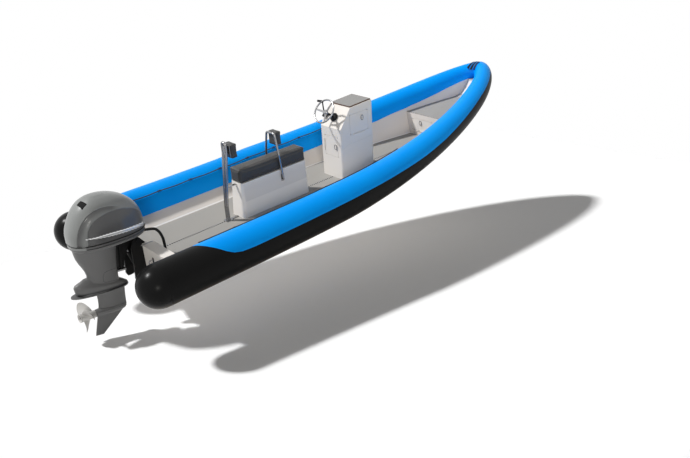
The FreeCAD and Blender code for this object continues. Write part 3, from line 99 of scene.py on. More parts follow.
def between(stops, value):
    """Reads a broken line given by (place, height) pairs."""
    if value <= stops[0][0]:
        return stops[0][1]
    for (x0, y0), (x1, y1) in zip(stops, stops[1:]):
        if value <= x1:
            return y0 + (y1 - y0) * (value - x0) / (x1 - x0)
    return stops[-1][1]


def spread(low, high, count):
    return [low + (high - low) * i / (count - 1) for i in range(count)]


# Materials

def grey(level):
    return (level, level, level)


class Socket:
    """An output that shader sums can be written with."""

    def __init__(self, nodes, output):
        self.nodes = nodes
        self.output = output

    def math(self, operation, *values):
        return self.nodes.add("Math", {"operation": operation}, *values)

    def __add__(self, other):
        return self.math("ADD", self, other)

    def __sub__(self, other):
        return self.math("SUBTRACT", self, other)

    def __rsub__(self, other):
        return self.math("SUBTRACT", other, self)

    def __mul__(self, other):
        return self.math("MULTIPLY", self, other)

    def __abs__(self):
        return self.math("ABSOLUTE", self)

    __radd__ = __add__

    def wave(self):
        return self.math("SINE", self)

    def over(self, edge, soft):
        """0 below the edge and 1 above it, with a soft step."""
        step = {"interpolation_type": "SMOOTHSTEP"}
        return self.nodes.add("MapRange", step, self, edge - soft, edge + soft)

    def near(self, place, half, soft):
        """1 within half of a place and 0 further off."""
        return 1 - abs(self - place).over(half, soft)

    def most(self, other):
        return self.math("MAXIMUM", self, other)


class Nodes:
    """A node tree, with one method that adds any node."""

    def __init__(self, tree):
        self.tree = tree

    def add(self, kind, settings, *values, output=0, **named):
        node = self.tree.nodes.new("ShaderNode" + kind)
        for setting, value in settings.items():
            setattr(node, setting, value)
        for socket, value in list(enumerate(values)) + list(named.items()):
            self.link(node.inputs[socket], value)
        return Socket(self, node.outputs[output])

    def link(self, socket, value):
        if isinstance(value, Socket):
            self.tree.links.new(value.output, socket)
        elif isinstance(value, (tuple, list)) and len(socket.default_value) == 4:
            socket.default_value = tuple(value) + (1.0,)
        else:
            socket.default_value = value


class Paint(Nodes):
    """A material, with the readings and patterns that it is made of."""

    def __init__(self, name, colour, roughness=0.5, metallic=0.0, **constants):
        self.material = bpy.data.materials.new(name)
        self.material.use_nodes = True
        super().__init__(self.material.node_tree)
        self.shader = self.tree.nodes["Principled BSDF"]
        self.set("Base Color", colour)
        self.set("Roughness", roughness)
        self.set("Metallic", metallic)
        for socket, value in constants.items():
            self.set(socket.replace("_", " "), value)
        self.place = self.add("TexCoord", {}, output="Object")

    def set(self, name, value):
        self.link(self.shader.inputs[name], value)

    def axis(self, index):
        return self.add("SeparateXYZ", {}, self.place, output=index)

    def facing(self, index):
        """How far the surface faces along an axis."""
        normal = self.add("NewGeometry", {}, output="Normal")
        return self.add("SeparateXYZ", {}, normal, output=index)

    def reading(self, name):
        """A number kept on the mesh."""
        return self.add("Attribute", {"attribute_name": name}, output="Fac")

    def noise(self, scale, detail=3.0):
        return self.add("TexNoise", {}, Vector=self.place, Scale=scale, Detail=detail, output="Fac")

    def cells(self, scale, feature="F1"):
        return self.add("TexVoronoi", {"feature": feature}, Vector=self.place, Scale=scale,
                        output="Distance")

    def mix(self, share, low, high):
        """A colour between two colours."""
        node = self.tree.nodes.new("ShaderNodeMix")
        node.data_type = "RGBA"
        for index, value in ((0, share), (6, low), (7, high)):
            self.link(node.inputs[index], value)
        return Socket(self, node.outputs[2])

    def shades(self, share, colour, low, high):
        """A colour that wanders between two multiples of itself."""
        return self.mix(share, tuple(c * low for c in colour), tuple(c * high for c in colour))

    def bump(self, height, distance):
        self.set("Normal", self.add("Bump", {}, Height=height, Distance=distance, Strength=1.0))
        return self.material


def mottled_black_with_painted_bounce(paint, mottle, low, high):
    """Mottled black, with painted warm bounce light where it faces down."""
    # The brown on down-facing surfaces is painted bounce light, not a colour of the black.
    under = paint.facing(2).over(-0.62, 0.2)
    return paint.mix(under, (0.030, 0.020, 0.010), paint.mix(mottle, grey(low), grey(high)))


def tube_fabric(name):
    """Coated tube fabric, black below and blue above."""
    paint = Paint(name, BLUE, 0.4, Specular_IOR_Level=0.07)
    band = paint.reading("band")
    mottle, fine = paint.noise(3.0), paint.cells(900.0)
    lit = paint.mix(mottle, (0.0, 0.30, 0.93), (0.001, 0.36, 1.0))
    # The black below carries painted warm bounce light where it faces down.
    colour = paint.mix(band.over(0.0, 0.0012), mottled_black_with_painted_bounce(paint, mottle, 0.0035, 0.007), lit)
    edge = band.near(0.0, 0.0012, 0.001)
    paint.set("Base Color", paint.mix(edge * 0.6, colour, (0.0, 0.01, 0.02)))
    paint.set("Roughness", 0.34 + mottle * 0.10 + fine * 0.08)
    lap = band.near(-0.012, 0.012, 0.001)
    return paint.bump(fine * 0.06 + paint.noise(5.0, 2.0) * 0.7 + lap * 0.35, 0.0012)


def end_rubber(name):
    """Smooth black rubber of the tube's ends."""
    paint = Paint(name, BLACK, 0.25, Specular_IOR_Level=0.07)
    mottle = paint.noise(4.0)
    # Painted warm bounce light where the end faces down.
    paint.set("Base Color", mottled_black_with_painted_bounce(paint, mottle, 0.004, 0.009))
    paint.set("Roughness", 0.23 + mottle * 0.06)
    return paint.bump(paint.cells(900.0) * 0.1 + mottle * 0.5, 0.0008)


def polished(name, colour, coat=0.15, shine=0.3):
    """Paint of moulded glass fibre, with its mottled colour and the height of its fine grain."""
    paint = Paint(name, colour, 0.24, Coat_Weight=coat, Coat_Roughness=0.12, Specular_IOR_Level=shine)
    mottle, fine = paint.noise(2.2), paint.noise(60.0, 4.0)
    paint.set("Roughness", 0.24 + mottle * 0.08 + fine * 0.05)
    return paint, paint.shades(mottle, colour, 0.955, 1.0), fine * 0.3


def gelcoat(name, colour):
    """Moulded glass fibre with a polished skin."""
    paint, mottled, grain = polished(name, colour)
    paint.set("Base Color", mottled)
    return paint.bump(grain + paint.noise(9.0, 2.0), 0.0006)


def painted_side_light_tint(paint, colour, tint):
    """Painted warm tint on the walls that face port or starboard, set against the blue light that the tubes
    bounce onto them.
    """
    return paint.mix(abs(paint.facing(1)).over(0.85, 0.1) * 0.8, colour, tint)


def console_moulding(name):
    """Console gelcoat with the moulded step along its sides, a dark line painted along the step as its
    shade, and a painted warm tint on its side walls.
    """
    paint, colour, grain = polished(name, GELCOAT)
    along, side, up = (paint.axis(i) for i in range(3))
    rise = along.over(3.14, 0.08) * 0.047 + along.over(3.55, 0.10) * 0.012 + 0.492
    on_side = abs(side).over(0.1985, 0.0008) * along.over(3.075, 0.004)
    # Painted shade: a dark line along the edge of the step.
    line = (up - rise).near(0.0, 0.0022, 0.0014) * on_side
    colour = paint.mix(line * 0.55, colour, (0.10, 0.10, 0.105))
    # Painted light: side walls warmed against the bounced blue.
    paint.set("Base Color", painted_side_light_tint(paint, colour, (0.82, 0.755, 0.66)))
    step = (rise - up).over(0.0, 0.004) * on_side
    return paint.bump(step * 3 + grain + paint.noise(9.0, 2.0), 0.0006)


def seat_moulding(name):
    """Seat gelcoat with painted shade over the moulded step along its sides, and a painted warm tint on its
    side walls.
    """
    paint, colour, grain = polished(name, GELCOAT, 0.12, 0.25)
    along, side, up = (paint.axis(i) for i in range(3))
    step = (up - 0.272).over(0.0, 0.006) * abs(side).over(0.112, 0.004) * along.over(1.46, 0.01)
    # Painted light: side walls warmed against the bounced blue.
    colour = painted_side_light_tint(paint, colour, (0.80, 0.735, 0.64))
    # Painted shade: the side over the step is darkened, as the light on it differs from the part below.
    paint.set("Base Color", paint.mix(step * 0.75, colour, (0.68, 0.625, 0.555)))
    return paint.bump(step * 2 + grain + paint.noise(9.0, 2.0), 0.0006)


def deck_moulding(name):
    """Gelcoat walls with a non-slip grey floor moulded in, its gutter and its edge lines."""
    paint = Paint(name, LINER, 0.3, Specular_IOR_Level=0.3)
    floor = paint.facing(2).over(0.93, 0.02)
    along, side, up = (paint.axis(i) for i in range(3))
    low = 1 - up.over(0.075, 0.005)
    mottle, grain = paint.noise(2.5), paint.cells(420.0)
    walls = paint.mix(mottle, (0.75, 0.695, 0.64), LINER)
    tread = paint.mix(paint.noise(40.0), (0.345, 0.33, 0.302), DECK_GREY)
    colour = paint.mix(floor, walls, tread)
    foot = up.near(0.0675, 0.0045, 0.001) * (1 - floor)
    colour = paint.mix(foot, colour, (0.92, 0.90, 0.87))
    dots = (along * 200.0).wave().over(0.6, 0.2)
    gutter = side.near(0.0, 0.0115, 0.0015) * floor * low
    colour = paint.mix(gutter, colour, paint.mix(dots, grey(0.006), (0.62, 0.61, 0.59)))
    lip = along.near(5.1, 0.006, 0.001) * floor * (1 - low)
    paint.set("Base Color", paint.mix(lip * 0.85, colour, (0.05, 0.045, 0.04)))
    paint.set("Roughness", 0.3 + floor * 0.42)
    return paint.bump(floor * grain * 0.8 - gutter * 2 + mottle * 0.2, 0.0015)


def top_pad(name):
    """Grey non-slip pad with a dark brown bound edge."""
    paint = Paint(name, (0.36, 0.35, 0.335), 0.7)
    low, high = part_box("console_top_pad")
    ends = abs(paint.axis(0) - (low[0] + high[0]) / 2).over((high[0] - low[0]) / 2 - 0.009, 0.001)
    edge = ends.most(abs(paint.axis(1)).over(high[1] - 0.008, 0.001))
    grain = paint.cells(500.0)
    tread = paint.mix(paint.noise(30.0), (0.275, 0.272, 0.268), (0.33, 0.326, 0.32))
    bound = paint.mix(paint.noise(12.0), (0.012, 0.009, 0.008), (0.16, 0.07, 0.035))
    paint.set("Base Color", paint.mix(edge, tread, bound))
    paint.set("Roughness", 0.75 - edge * 0.25)
    return paint.bump(grain * (1 - edge) + edge * 1.5, 0.001)


def vinyl(name, colour):
    """Marine vinyl with a leather grain."""
    paint = Paint(name, colour, 0.5, Sheen_Weight=0.1)
    grain = paint.cells(520.0, "DISTANCE_TO_EDGE")
    worn, soft = paint.noise(7.0, 4.0), paint.noise(300.0, 2.0)
    paint.set("Base Color", paint.shades(worn, colour, 0.8, 1.2))
    paint.set("Roughness", 0.44 + worn * 0.14)
    return paint.bump(grain.over(0.05, 0.05) * 0.6 + soft * 0.3, 0.0005)


def metal(name, colour, roughness):
    """Bare metal with fine scratches."""
    paint = Paint(name, colour, roughness, 1.0)
    lines, cloud = paint.noise(160.0), paint.noise(5.0)
    paint.set("Base Color", paint.shades(cloud, colour, 0.9, 1.0))
    paint.set("Roughness", roughness + lines * 0.1 + cloud * 0.05)
    return paint.bump(lines, 0.0002)


def plastic(name, colour, roughness, grain=260.0, depth=0.0005):
    """Moulded plastic or rubber with a fine spark grain."""
    paint = Paint(name, colour, roughness, Specular_IOR_Level=0.15)
    fine, cloud = paint.cells(grain), paint.noise(6.0)
    paint.set("Base Color", paint.shades(cloud, colour, 0.85, 1.1))
    paint.set("Roughness", roughness + cloud * 0.1)
    return paint.bump(fine, depth)


def flaked(name, colour, roughness, coat=0.18, shine=0.35):
    """Baked paint with a fine metallic flake, and the share of its lighter shade."""
    paint = Paint(name, colour, roughness, Coat_Weight=coat, Coat_Roughness=0.12,
                  Specular_IOR_Level=shine)
    flake, cloud = paint.cells(1500.0), paint.noise(3.0)
    paint.set("Roughness", roughness + cloud * 0.08)
    paint.bump(paint.noise(220.0, 2.0), 0.0002)
    return paint, flake * 0.6 + cloud * 0.3


def motor_paint(name, colour, roughness):
    paint, share = flaked(name, colour, roughness)
    paint.set("Base Color", paint.shades(share, colour, 0.82, 1.18))
    return paint.material


def cowl_paint(name):
    """Motor paint on a pale shell, with painted shade on the sunk side panels and darker painted shade along
    the long crease.
    """
    paint, share = flaked(name, (0.22, 0.225, 0.222), 0.3)
    pale = paint.mix(share, (0.19, 0.197, 0.193), (0.285, 0.295, 0.29))
    # Painted shade: the sunk side panels get this darker grey.
    painted_shade_grey = paint.mix(share, grey(0.078), grey(0.120))
    colour = paint.mix(paint.reading("panel"), pale, painted_shade_grey)
    # Painted shade: the long crease is darkened further.
    paint.set("Base Color", paint.mix(paint.reading("crease") * 0.75, colour, (0.06, 0.06, 0.062)))
    return paint.material


def skirt_paint(name):
    """Motor paint with painted shade under the skirt's lip."""
    paint, share = flaked(name, grey(0.15), 0.34, 0.1, 0.3)
    upright = paint.axis(2) * 0.9925 + paint.axis(0) * 0.1219
    # Painted shade: the band under the lip is darkened towards black.
    under = 1 - upright.over(-0.158, 0.014)
    lit = paint.mix(share, grey(0.100), grey(0.142))
    paint.set("Base Color", paint.mix(under * 0.85, lit, BLACK))
    return paint.material


def striped_steel(name):
    """Bright strip with slanting ribs."""
    paint = Paint(name, grey(0.6), 0.26, 0.6)
    ribs = ((paint.axis(0) + paint.axis(2) * 1.6) * 190.0).wave().over(-0.4, 0.5)
    paint.set("Base Color", paint.mix(ribs, (0.40, 0.40, 0.405), grey(0.88)))
    paint.set("Roughness", 0.2 + ribs * 0.1 + paint.noise(50.0) * 0.08)
    return paint.bump(ribs, 0.0015)


def barred_rubber(name):
    """Black raised bars with the blue of the tube between them."""
    paint = Paint(name, BLACK, 0.42, Specular_IOR_Level=0.2)
    bars = (paint.axis(1) * 150.0 + 1.0).wave().over(-0.35, 0.25)
    paint.set("Base Color", paint.mix(bars, (0.0, 0.16, 0.52), grey(0.006)))
    paint.set("Roughness", 0.38 + paint.noise(40.0) * 0.12)
    return paint.bump(bars, 0.004)


def rope_cover(name, colour):
    """Braided rope cover."""
    paint = Paint(name, colour, 0.75, Sheen_Weight=0.2)
    strands = paint.cells(260.0)
    paint.set("Base Color", paint.shades(strands, colour, 1.5, 0.5))
    return paint.bump(strands, 0.002)


# Meshes

def placed(name, data):
    """A new object in the scene."""
    made = bpy.data.objects.new(name, data)
    bpy.context.scene.collection.objects.link(made)
    return made


def finish_mesh(name, form, body, smooth=True):
    """Makes an object of a bmesh, and notes the body that it rides with."""
    mesh = bpy.data.meshes.new(name)
    form.to_mesh(mesh)
    form.free()
    piece = placed(name, mesh)
    for face in mesh.polygons:
        face.use_smooth = smooth
    piece["body"] = body
    return piece


def dress(piece, material, nodes=()):
    """Gives a piece its material and its body, and hides the nodes it stands for."""
    piece.data.materials.clear()
    piece.data.materials.append(MATERIALS[material])
    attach(piece, piece["body"])
    if nodes:
        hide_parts(*nodes)
    return piece


def bridge_rings(form, rings, closed=True, caps=True):
    """Quads between rings of points."""
    rows = [[form.verts.new(point) for point in ring] for ring in rings]
    count = len(rows[0])
    for low, high in zip(rows, rows[1:]):
        for i in range(count if closed else count - 1):
            j = (i + 1) % count
            form.faces.new((low[i], low[j], high[j], high[i]))
    if caps:
        form.faces.new(list(reversed(rows[0])))
        form.faces.new(rows[-1])
    return rows


def outward(form):
    bmesh.ops.recalc_face_normals(form, faces=form.faces)
    return form


def lofted(name, rows, body, closed=True, caps=True, smooth=True):
    """An object of quads between rows of points."""
    form = bmesh.new()
    bridge_rings(form, rows, closed, caps)
    return finish_mesh(name, outward(form), body, smooth)


def tree_of(mesh):
    return BVHTree.FromPolygons([vertex.co for vertex in mesh.vertices],
                                [tuple(face.vertices) for face in mesh.polygons])


def circle(count):
    """Cosine and sine of evenly spread angles."""
    turns = [math.tau * i / count for i in range(count)]
    return [(math.cos(turn), math.sin(turn)) for turn in turns]


def bulged(value, power):
    """A power of a number that keeps its sign."""
    return math.copysign(abs(value) ** power, value)


def through(points, steps):
    """A smooth line through points."""
    points = [Vector(point) for point in points]
    run = [points[0] * 2 - points[1]] + points + [points[-1] * 2 - points[-2]]
    line = []
    for a, b, c, d in zip(run, run[1:], run[2:], run[3:]):
        for i in range(steps):
            t = i / steps
            line.append((b * 2 + (c - a) * t + (a * 2 - b * 5 + c * 4 - d) * t ** 2
                         + (b * 3 - a - c * 3 + d) * t ** 3) / 2)
    return line + [points[-1]]


def strip_on(name, skin, path, profile, swell=None):
    """A strip laid on the motor's skin along a path; the profile gives (across, lift) pairs."""
    places = through(path, 8)
    rows = []
    for i, place in enumerate(places):
        ahead = (places[min(i + 1, len(places) - 1)] - places[max(i - 1, 0)]).normalized()
        spot, normal, _, _ = skin.find_nearest(place)
        across = normal.cross(ahead).normalized()
        size = swell(i / (len(places) - 1)) if swell else 1.0
        row = []
        for off, lift in profile:
            foot, out, _, _ = skin.find_nearest(spot + across * off * size)
            row.append(foot + out * lift)
        rows.append(row)
    return lofted(name, rows, "motor", closed=False, caps=False)


def tube_on(name, line, size, body, sides, closed=False):
    """A tube along close points; size gives the radius at a distance and an angle."""
    form = bmesh.new()
    count = len(line)
    heads = []
    for i in range(count):
        low, high = (i - 1, i + 1) if closed else (max(i - 1, 0), min(i + 1, count - 1))
        heads.append((line[high % count] - line[low % count]).normalized())
    across = heads[0].orthogonal().normalized()
    rows, run = [], 0.0
    for i, (place, head) in enumerate(zip(line, heads)):
        across = (across - head * across.dot(head)).normalized()
        beside = head.cross(across)
        run += (place - line[i - 1]).length if i else 0.0
        ring = []
        for k in range(sides):
            angle = math.tau * k / sides
            reach = size(run, angle) if callable(size) else size
            ring.append(place + (across * math.cos(angle) + beside * math.sin(angle)) * reach)
        rows.append(ring)
    if closed:
        rows.append(rows[0])
    made = bridge_rings(form, rows, caps=not closed)
    if closed:
        bmesh.ops.remove_doubles(form, verts=made[0] + made[-1], dist=1e-7)
    return finish_mesh(name, outward(form), body)


def joined(name, pieces):
    """One object of several meshes."""
    form = bmesh.new()
    for piece in pieces:
        form.from_mesh(piece.data)
        body = piece["body"]
        bpy.data.objects.remove(piece)
    return finish_mesh(name, form, body)


def mirrored(points):
    return [Vector((point[0], -point[1], point[2])) for point in points]


# The tube's line, as in the CAD part

def bend_share(x):
    return max(0.0, (x - KNUCKLE) / (BOW - KNUCKLE))


def tube_half_width(x):
    return TUBE_SPACING * max(0.0, 1 - bend_share(x) ** PLAN_POWER) ** PLAN_ROOT


def tube_x(half_width):
    share = 1 - (half_width / TUBE_SPACING) ** (1 / PLAN_ROOT)
    return KNUCKLE + (BOW - KNUCKLE) * share ** (1 / PLAN_POWER)


def tube_level(x):
    share = max(0.0, (x - SHEER_START) / (BOW - SHEER_START))
    return TUBE_HEIGHT + SHEER_RISE * share ** SHEER_POWER


def tube_size(x):
    return TUBE_RADIUS + (BOW_RADIUS - TUBE_RADIUS) * bend_share(x)


def square_to_tube(x):
    step = 0.001
    slope = (tube_half_width(x + step) - tube_half_width(x - step)) / (2 * step)
    return Vector((slope, -1, 0)).normalized()


def inward_at(x, y):
    """Horizontal direction from the port centreline to the inside of the boat."""
    if x < BOW_SEAM:
        return square_to_tube(x)
    seam_y = tube_half_width(BOW_SEAM)
    edge = Vector((BOW_SEAM, seam_y, 0)) + square_to_tube(BOW_SEAM) * tube_size(BOW_SEAM)
    corner = Vector((BOW - BOW_RADIUS - BOW_CORNER, 0, 0))
    share = math.hypot(BOW - x, y) / math.hypot(BOW - BOW_SEAM, seam_y)
    return (corner + (edge - corner) * share - Vector((x, y, 0))).normalized()


def tube_frame(x, y):
    """Centre, inward and up directions of the port tube's section."""
    inward = inward_at(x, y)
    step = 0.001
    rise = (tube_level(x + step) - tube_level(x - step)) / (2 * step) * -inward.y
    forward = Vector((-inward.y, inward.x, 0))
    return Vector((x, y, tube_level(x))), inward, (Vector((0, 0, 1)) - forward * rise).normalized()


def tube_point(x, y, angle, extra=0.0, side=1):
    """A point on the tube: 0 degrees is outboard, 90 is up and 180 inboard."""
    centre, inward, up = tube_frame(x, y)
    turn, reach = math.radians(angle), tube_size(x) + extra
    point = centre - inward * (reach * math.cos(turn)) + up * (reach * math.sin(turn))
    return Vector((point.x, point.y * side, point.z))


# Where the blue starts above outboard, in degrees, along the boat
BLUE_EDGE = [(0.1, 230), (0.17, 150), (0.21, 110), (0.25, 90), (0.31, 72), (0.37, 58), (0.44, 42),
             (0.52, 30), (0.62, 24), (0.8, 22), (1.6, 23), (2.6, 24), (3.2, 21), (3.8, 17),
             (4.35, 18), (5.2, 28), (5.9, 36), (6.435, 40)]


def blue_distance(x, angle):
    """Distance along the skin from the edge of the blue, above it positive."""
    reach = tube_size(x)
    above = math.radians(angle - between(BLUE_EDGE, x)) * reach
    below_inside = math.radians(250 - angle) * reach
    return min(above, below_inside, (x - 0.12) * 1.5)


def tube_skin(name, places, side, nodes):
    """Smooth skin of one chamber through (x, y) places."""
    angles = [-90 + 360 * i / 96 for i in range(96)]
    rings = [[tube_point(x, y, angle, SKIN_LIFT, turn * side) for angle in angles] for x, y, turn in places]
    piece = lofted(name, rings, "boat", caps=False)
    band = piece.data.attributes.new("band", "FLOAT", "POINT")
    readings = [blue_distance(x, angle) for x, _, _ in places for angle in angles]
    band.data.foreach_set("value", readings)
    return dress(piece, "tube", nodes)


def build_tubes():
    aft = [(x, tube_half_width(x), 1) for x in spread(TUBE_AFT, KNUCKLE, 110)]
    fore = [(x, tube_half_width(x), 1) for x in spread(KNUCKLE, BOW_SEAM, 90)]
    seam_y = tube_half_width(BOW_SEAM)
    widths = spread(seam_y, 0.0, 40)
    half = [(tube_x(y), y, 1) for y in widths]
    bow = half + [(x, y, -1) for x, y, _ in reversed(half[:-1])]
    for side, hand in SIDES:
        tube_skin("tube_skin_aft_" + hand, aft, side, ["tube_%s_aft" % hand])
        tube_skin("tube_skin_fore_" + hand, fore, side, ["tube_%s_fore" % hand])
        cone_skin(side, hand)
    tube_skin("tube_skin_bow", bow, 1, ["tube_bow"])


def cone_skin(side, hand):
    """Moulded end of the tube."""
    form = bmesh.new()
    rings = []
    for turn in spread(0, 89.6, 40):
        a = math.radians(turn)
        reach, lift = TUBE_RADIUS * math.cos(a), TUBE_RADIUS * math.sin(a)
        rings.append([Vector((TUBE_AFT - lift - SKIN_LIFT * math.sin(a),
                              side * TUBE_SPACING + (reach + SKIN_LIFT * math.cos(a)) * c,
                              TUBE_HEIGHT + (reach + SKIN_LIFT * math.cos(a)) * d)) for c, d in circle(96)])
    rows = bridge_rings(form, rings, caps=False)
    form.faces.new(rows[-1])
    piece = finish_mesh("tube_end_" + hand, outward(form), "boat")
    dress(piece, "cone", ["cone_" + hand])


# Cushions and pads

PAD_STEP = 0.012
PAD_SWELL = 0.003


def rounded_block(name, low, high, corner):
    """A closed block with round edges, crowned faces and sides that pull in."""
    low, high = Vector(low), Vector(high)
    middle, half = (low + high) / 2, (high - low) / 2
    form = bmesh.new()
    cuts = [max(2, round(2 * h / PAD_STEP)) for h in half]
    seen = {}

    def vert(i, j, k):
        if (i, j, k) not in seen:
            unit = [2 * n / c - 1 for n, c in zip((i, j, k), cuts)]
            point = Vector([u * h for u, h in zip(unit, half)])
            inner = Vector([max(-h + corner, min(h - corner, p)) for p, h in zip(point, half)])
            away = point - inner
            if away.length > 1e-9:
                point = inner + away.normalized() * corner
            swell = Vector([math.copysign(1, u) * (abs(u) > 0.999) for u in unit])
            others = [1 - abs(u) ** 2.5 for u in unit]
            for axis in range(3):
                a, b = (axis + 1) % 3, (axis + 2) % 3
                point[axis] += swell[axis] * (PAD_SWELL * others[a] * others[b])
                if axis < 2:
                    point[axis] -= swell[axis] * PAD_SWELL * others[2]
            seen[(i, j, k)] = form.verts.new(middle + point)
        return seen[(i, j, k)]

    for axis in range(3):
        a, b = (axis + 1) % 3, (axis + 2) % 3
        for end in (0, cuts[axis]):
            for i in range(cuts[a]):
                for j in range(cuts[b]):
                    corners = []
                    for di, dj in ((0, 0), (1, 0), (1, 1), (0, 1)):
                        spot = [0, 0, 0]
                        spot[axis], spot[a], spot[b] = end, i + di, j + dj
                        corners.append(vert(*spot))
                    form.faces.new(corners)
    return finish_mesh(name, outward(form), "boat")


def baked(piece):
    """The piece's mesh with its modifiers worked in."""
    graph = bpy.context.evaluated_depsgraph_get()
    return bpy.data.meshes.new_from_object(piece.evaluated_get(graph))


def stuffed(piece, cap, voxel, floor=None):
    """Swells a pad like stuffed vinyl; no point moves further than the cap, nor below the floor."""
    scene = bpy.context.scene
    remesh = piece.modifiers.new("even", "REMESH")
    remesh.mode = "VOXEL"
    remesh.voxel_size = voxel
    mesh = baked(piece)
    piece.modifiers.clear()
    piece.data = mesh
    cloth = piece.modifiers.new("swell", "CLOTH")
    cloth.settings.use_pressure = True
    cloth.settings.uniform_pressure_force = 4.0
    cloth.settings.effector_weights.gravity = 0.0
    cloth.settings.quality = 4
    cloth.point_cache.frame_start = 1
    cloth.point_cache.frame_end = 20
    for frame_number in range(1, 21):
        scene.frame_set(frame_number)
    swollen = baked(piece)
    piece.modifiers.clear()
    scene.frame_set(1)
    for vertex, moved in zip(mesh.vertices, swollen.vertices):
        step = moved.co - vertex.co
        if step.length > cap:
            step = step.normalized() * cap
        vertex.co += step
        if floor is not None:
            vertex.co.z = max(vertex.co.z, floor)
    for face in mesh.polygons:
        face.use_smooth = True
    finer = piece.modifiers.new("finer", "SUBSURF")
    finer.levels = finer.render_levels = 1
    return piece


def welt_round(name, piece, corners, radius):
    """Piped edge on a pad, along a closed run of corners."""
    skin = tree_of(piece.data)
    line = []
    corners = [Vector(corner) for corner in corners]
    for a, b in zip(corners, corners[1:] + corners[:1]):
        count = max(2, round((b - a).length / 0.012))
        for i in range(count):
            spot, normal, _, _ = skin.find_nearest(a + (b - a) * i / count)
            line.append(spot + normal * radius * 0.2)
    for _ in range(2):
        line = [(line[i - 1] + line[i] * 2 + line[(i + 1) % len(line)]) / 4 for i in range(len(line))]
    welt = tube_on(name, line, radius, "boat", 10, True)
    return dress(welt, "welt")


def build_pad(node, cap, voxel, radius, bottom_rests):
    """A padded piece in the space of its node, and that space's corners."""
    low, high = (Vector(corner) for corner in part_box(node))
    foot = 0.0008 if bottom_rests else 0.003
    piece = rounded_block(node + "_cover", low + Vector((0.004, 0.004, foot)),
                          high - Vector((0.004, 0.004, 0.003)), radius)
    stuffed(piece, cap, voxel, low.z + 0.0006 if bottom_rests else None)
    dress(piece, "cushion", [node])
    return piece, low, high


def build_cushions():
    piece, low, high = build_pad("seat_cushion", 0.005, 0.0065, 0.012, True)
    for name, z in (("upper", high.z - 0.007), ("lower", low.z + 0.012)):
        corners = [(low.x, low.y, z), (high.x, low.y, z), (high.x, high.y, z), (low.x, high.y, z)]
        welt_round("seat_cushion_welt_" + name, piece, corners, 0.0028)
    for node in ("mid_backrest_pad", "rear_backrest_pad"):
        piece, low, high = build_pad(node, 0.004, 0.005, 0.011, False)
        for name, x in (("aft", low.x + 0.010), ("front", high.x - 0.010)):
            corners = [(x, low.y, low.z), (x, high.y, low.z), (x, high.y, high.z), (x, low.y, high.z)]
            welt_round(node + "_welt_" + name, piece, corners, 0.0022)


# Ropes and the hose

def route_line(points):
    """Close points of the smooth line that a cord takes along its route."""
    curve = bpy.data.curves.new("route", "CURVE")
    curve.dimensions = "3D"
    line = curve.splines.new("NURBS")
    line.points.add(len(points) - 1)
    for spot, point in zip(line.points, points):
        spot.co = (*point, 1.0)
    line.order_u = 3
    line.use_endpoint_u = True
    line.resolution_u = 40
    route = bpy.data.objects.new("route", curve)
    mesh = bpy.data.meshes.new_from_object(route)
    places = [vertex.co.copy() for vertex in mesh.vertices]
    bpy.data.objects.remove(route)
    return places


def length_of(line):
    return sum((b - a).length for a, b in zip(line, line[1:]))


def rope_points(side):
    """The lifeline's route along the inner side of the tube, as in the CAD part."""
    points = []
    for i in range(15):
        x = ROPE_AFT + ROPE_SPAN * i / 2
        sag = ROPE_SAG if i % 2 else 0.0
        points.append(tube_point(x, tube_half_width(x), ROPE_ANGLE + sag, ROPE_RADIUS + ROPE_LIFT, side))
    return points


def twisted(run, angle):
    """Three strands laid round each other."""
    return ROPE_RADIUS * (0.90 + 0.10 * math.cos(3 * (angle - run * math.tau / 0.06)))


def tab_on_tube(side, x):
    """Soft-cornered patch that follows the tube."""
    rows = []
    for u in spread(-1, 1, 15):
        row = []
        for v in spread(-1, 1, 13):
            edge = max(abs(u), abs(v))
            pull = edge / ((abs(u) ** 5 + abs(v) ** 5) ** 0.2 or 1.0)
            place = x + TAB_HALF_LENGTH * u * pull
            lift = TAB_THICKNESS * smooth_step(1.0, 0.86, edge) - 0.0004
            angle = ROPE_ANGLE + TAB_HALF_ANGLE * v * pull
            row.append(tube_point(place, tube_half_width(place), angle, lift + SKIN_LIFT, side))
        rows.append(row)
    return lofted("tab", rows, "boat", closed=False, caps=False)


def saddle_over_rope(side, x):
    """Webbing loop that holds the rope down on its tab."""
    rows = []
    for step in spread(-0.011, 0.011, 5):
        place = x + step
        row = []
        for turn in spread(-100, 100, 15):
            bend = math.radians(turn * 0.9)
            lift = ROPE_RADIUS + ROPE_LIFT + (ROPE_RADIUS + 0.0012) * math.cos(bend)
            angle = ROPE_ANGLE + math.degrees((ROPE_RADIUS + 0.0022) * math.sin(bend) / TUBE_RADIUS)
            row.append(tube_point(place, tube_half_width(place), angle, max(lift, 0.0016), side))
        rows.append(row)
    return lofted("saddle", rows, "boat", closed=False, caps=False)


def build_lifelines():
    for side, hand in SIDES:
        line = route_line(rope_points(side))
        rope = tube_on("lifeline_rope_" + hand, line, twisted, "boat", 15)
        dress(rope, "rope", ["lifeline_" + hand])
        length_of(line)
        places = [ROPE_AFT + ROPE_SPAN * i for i in range(8)]
        tabs = joined("lifeline_tabs_" + hand, [tab_on_tube(side, x) for x in places])
        dress(tabs, "tab", ["lifeline_" + hand])
        saddles = joined("lifeline_loops_" + hand, [saddle_over_rope(side, x) for x in places])
        dress(saddles, "webbing", ["lifeline_" + hand])


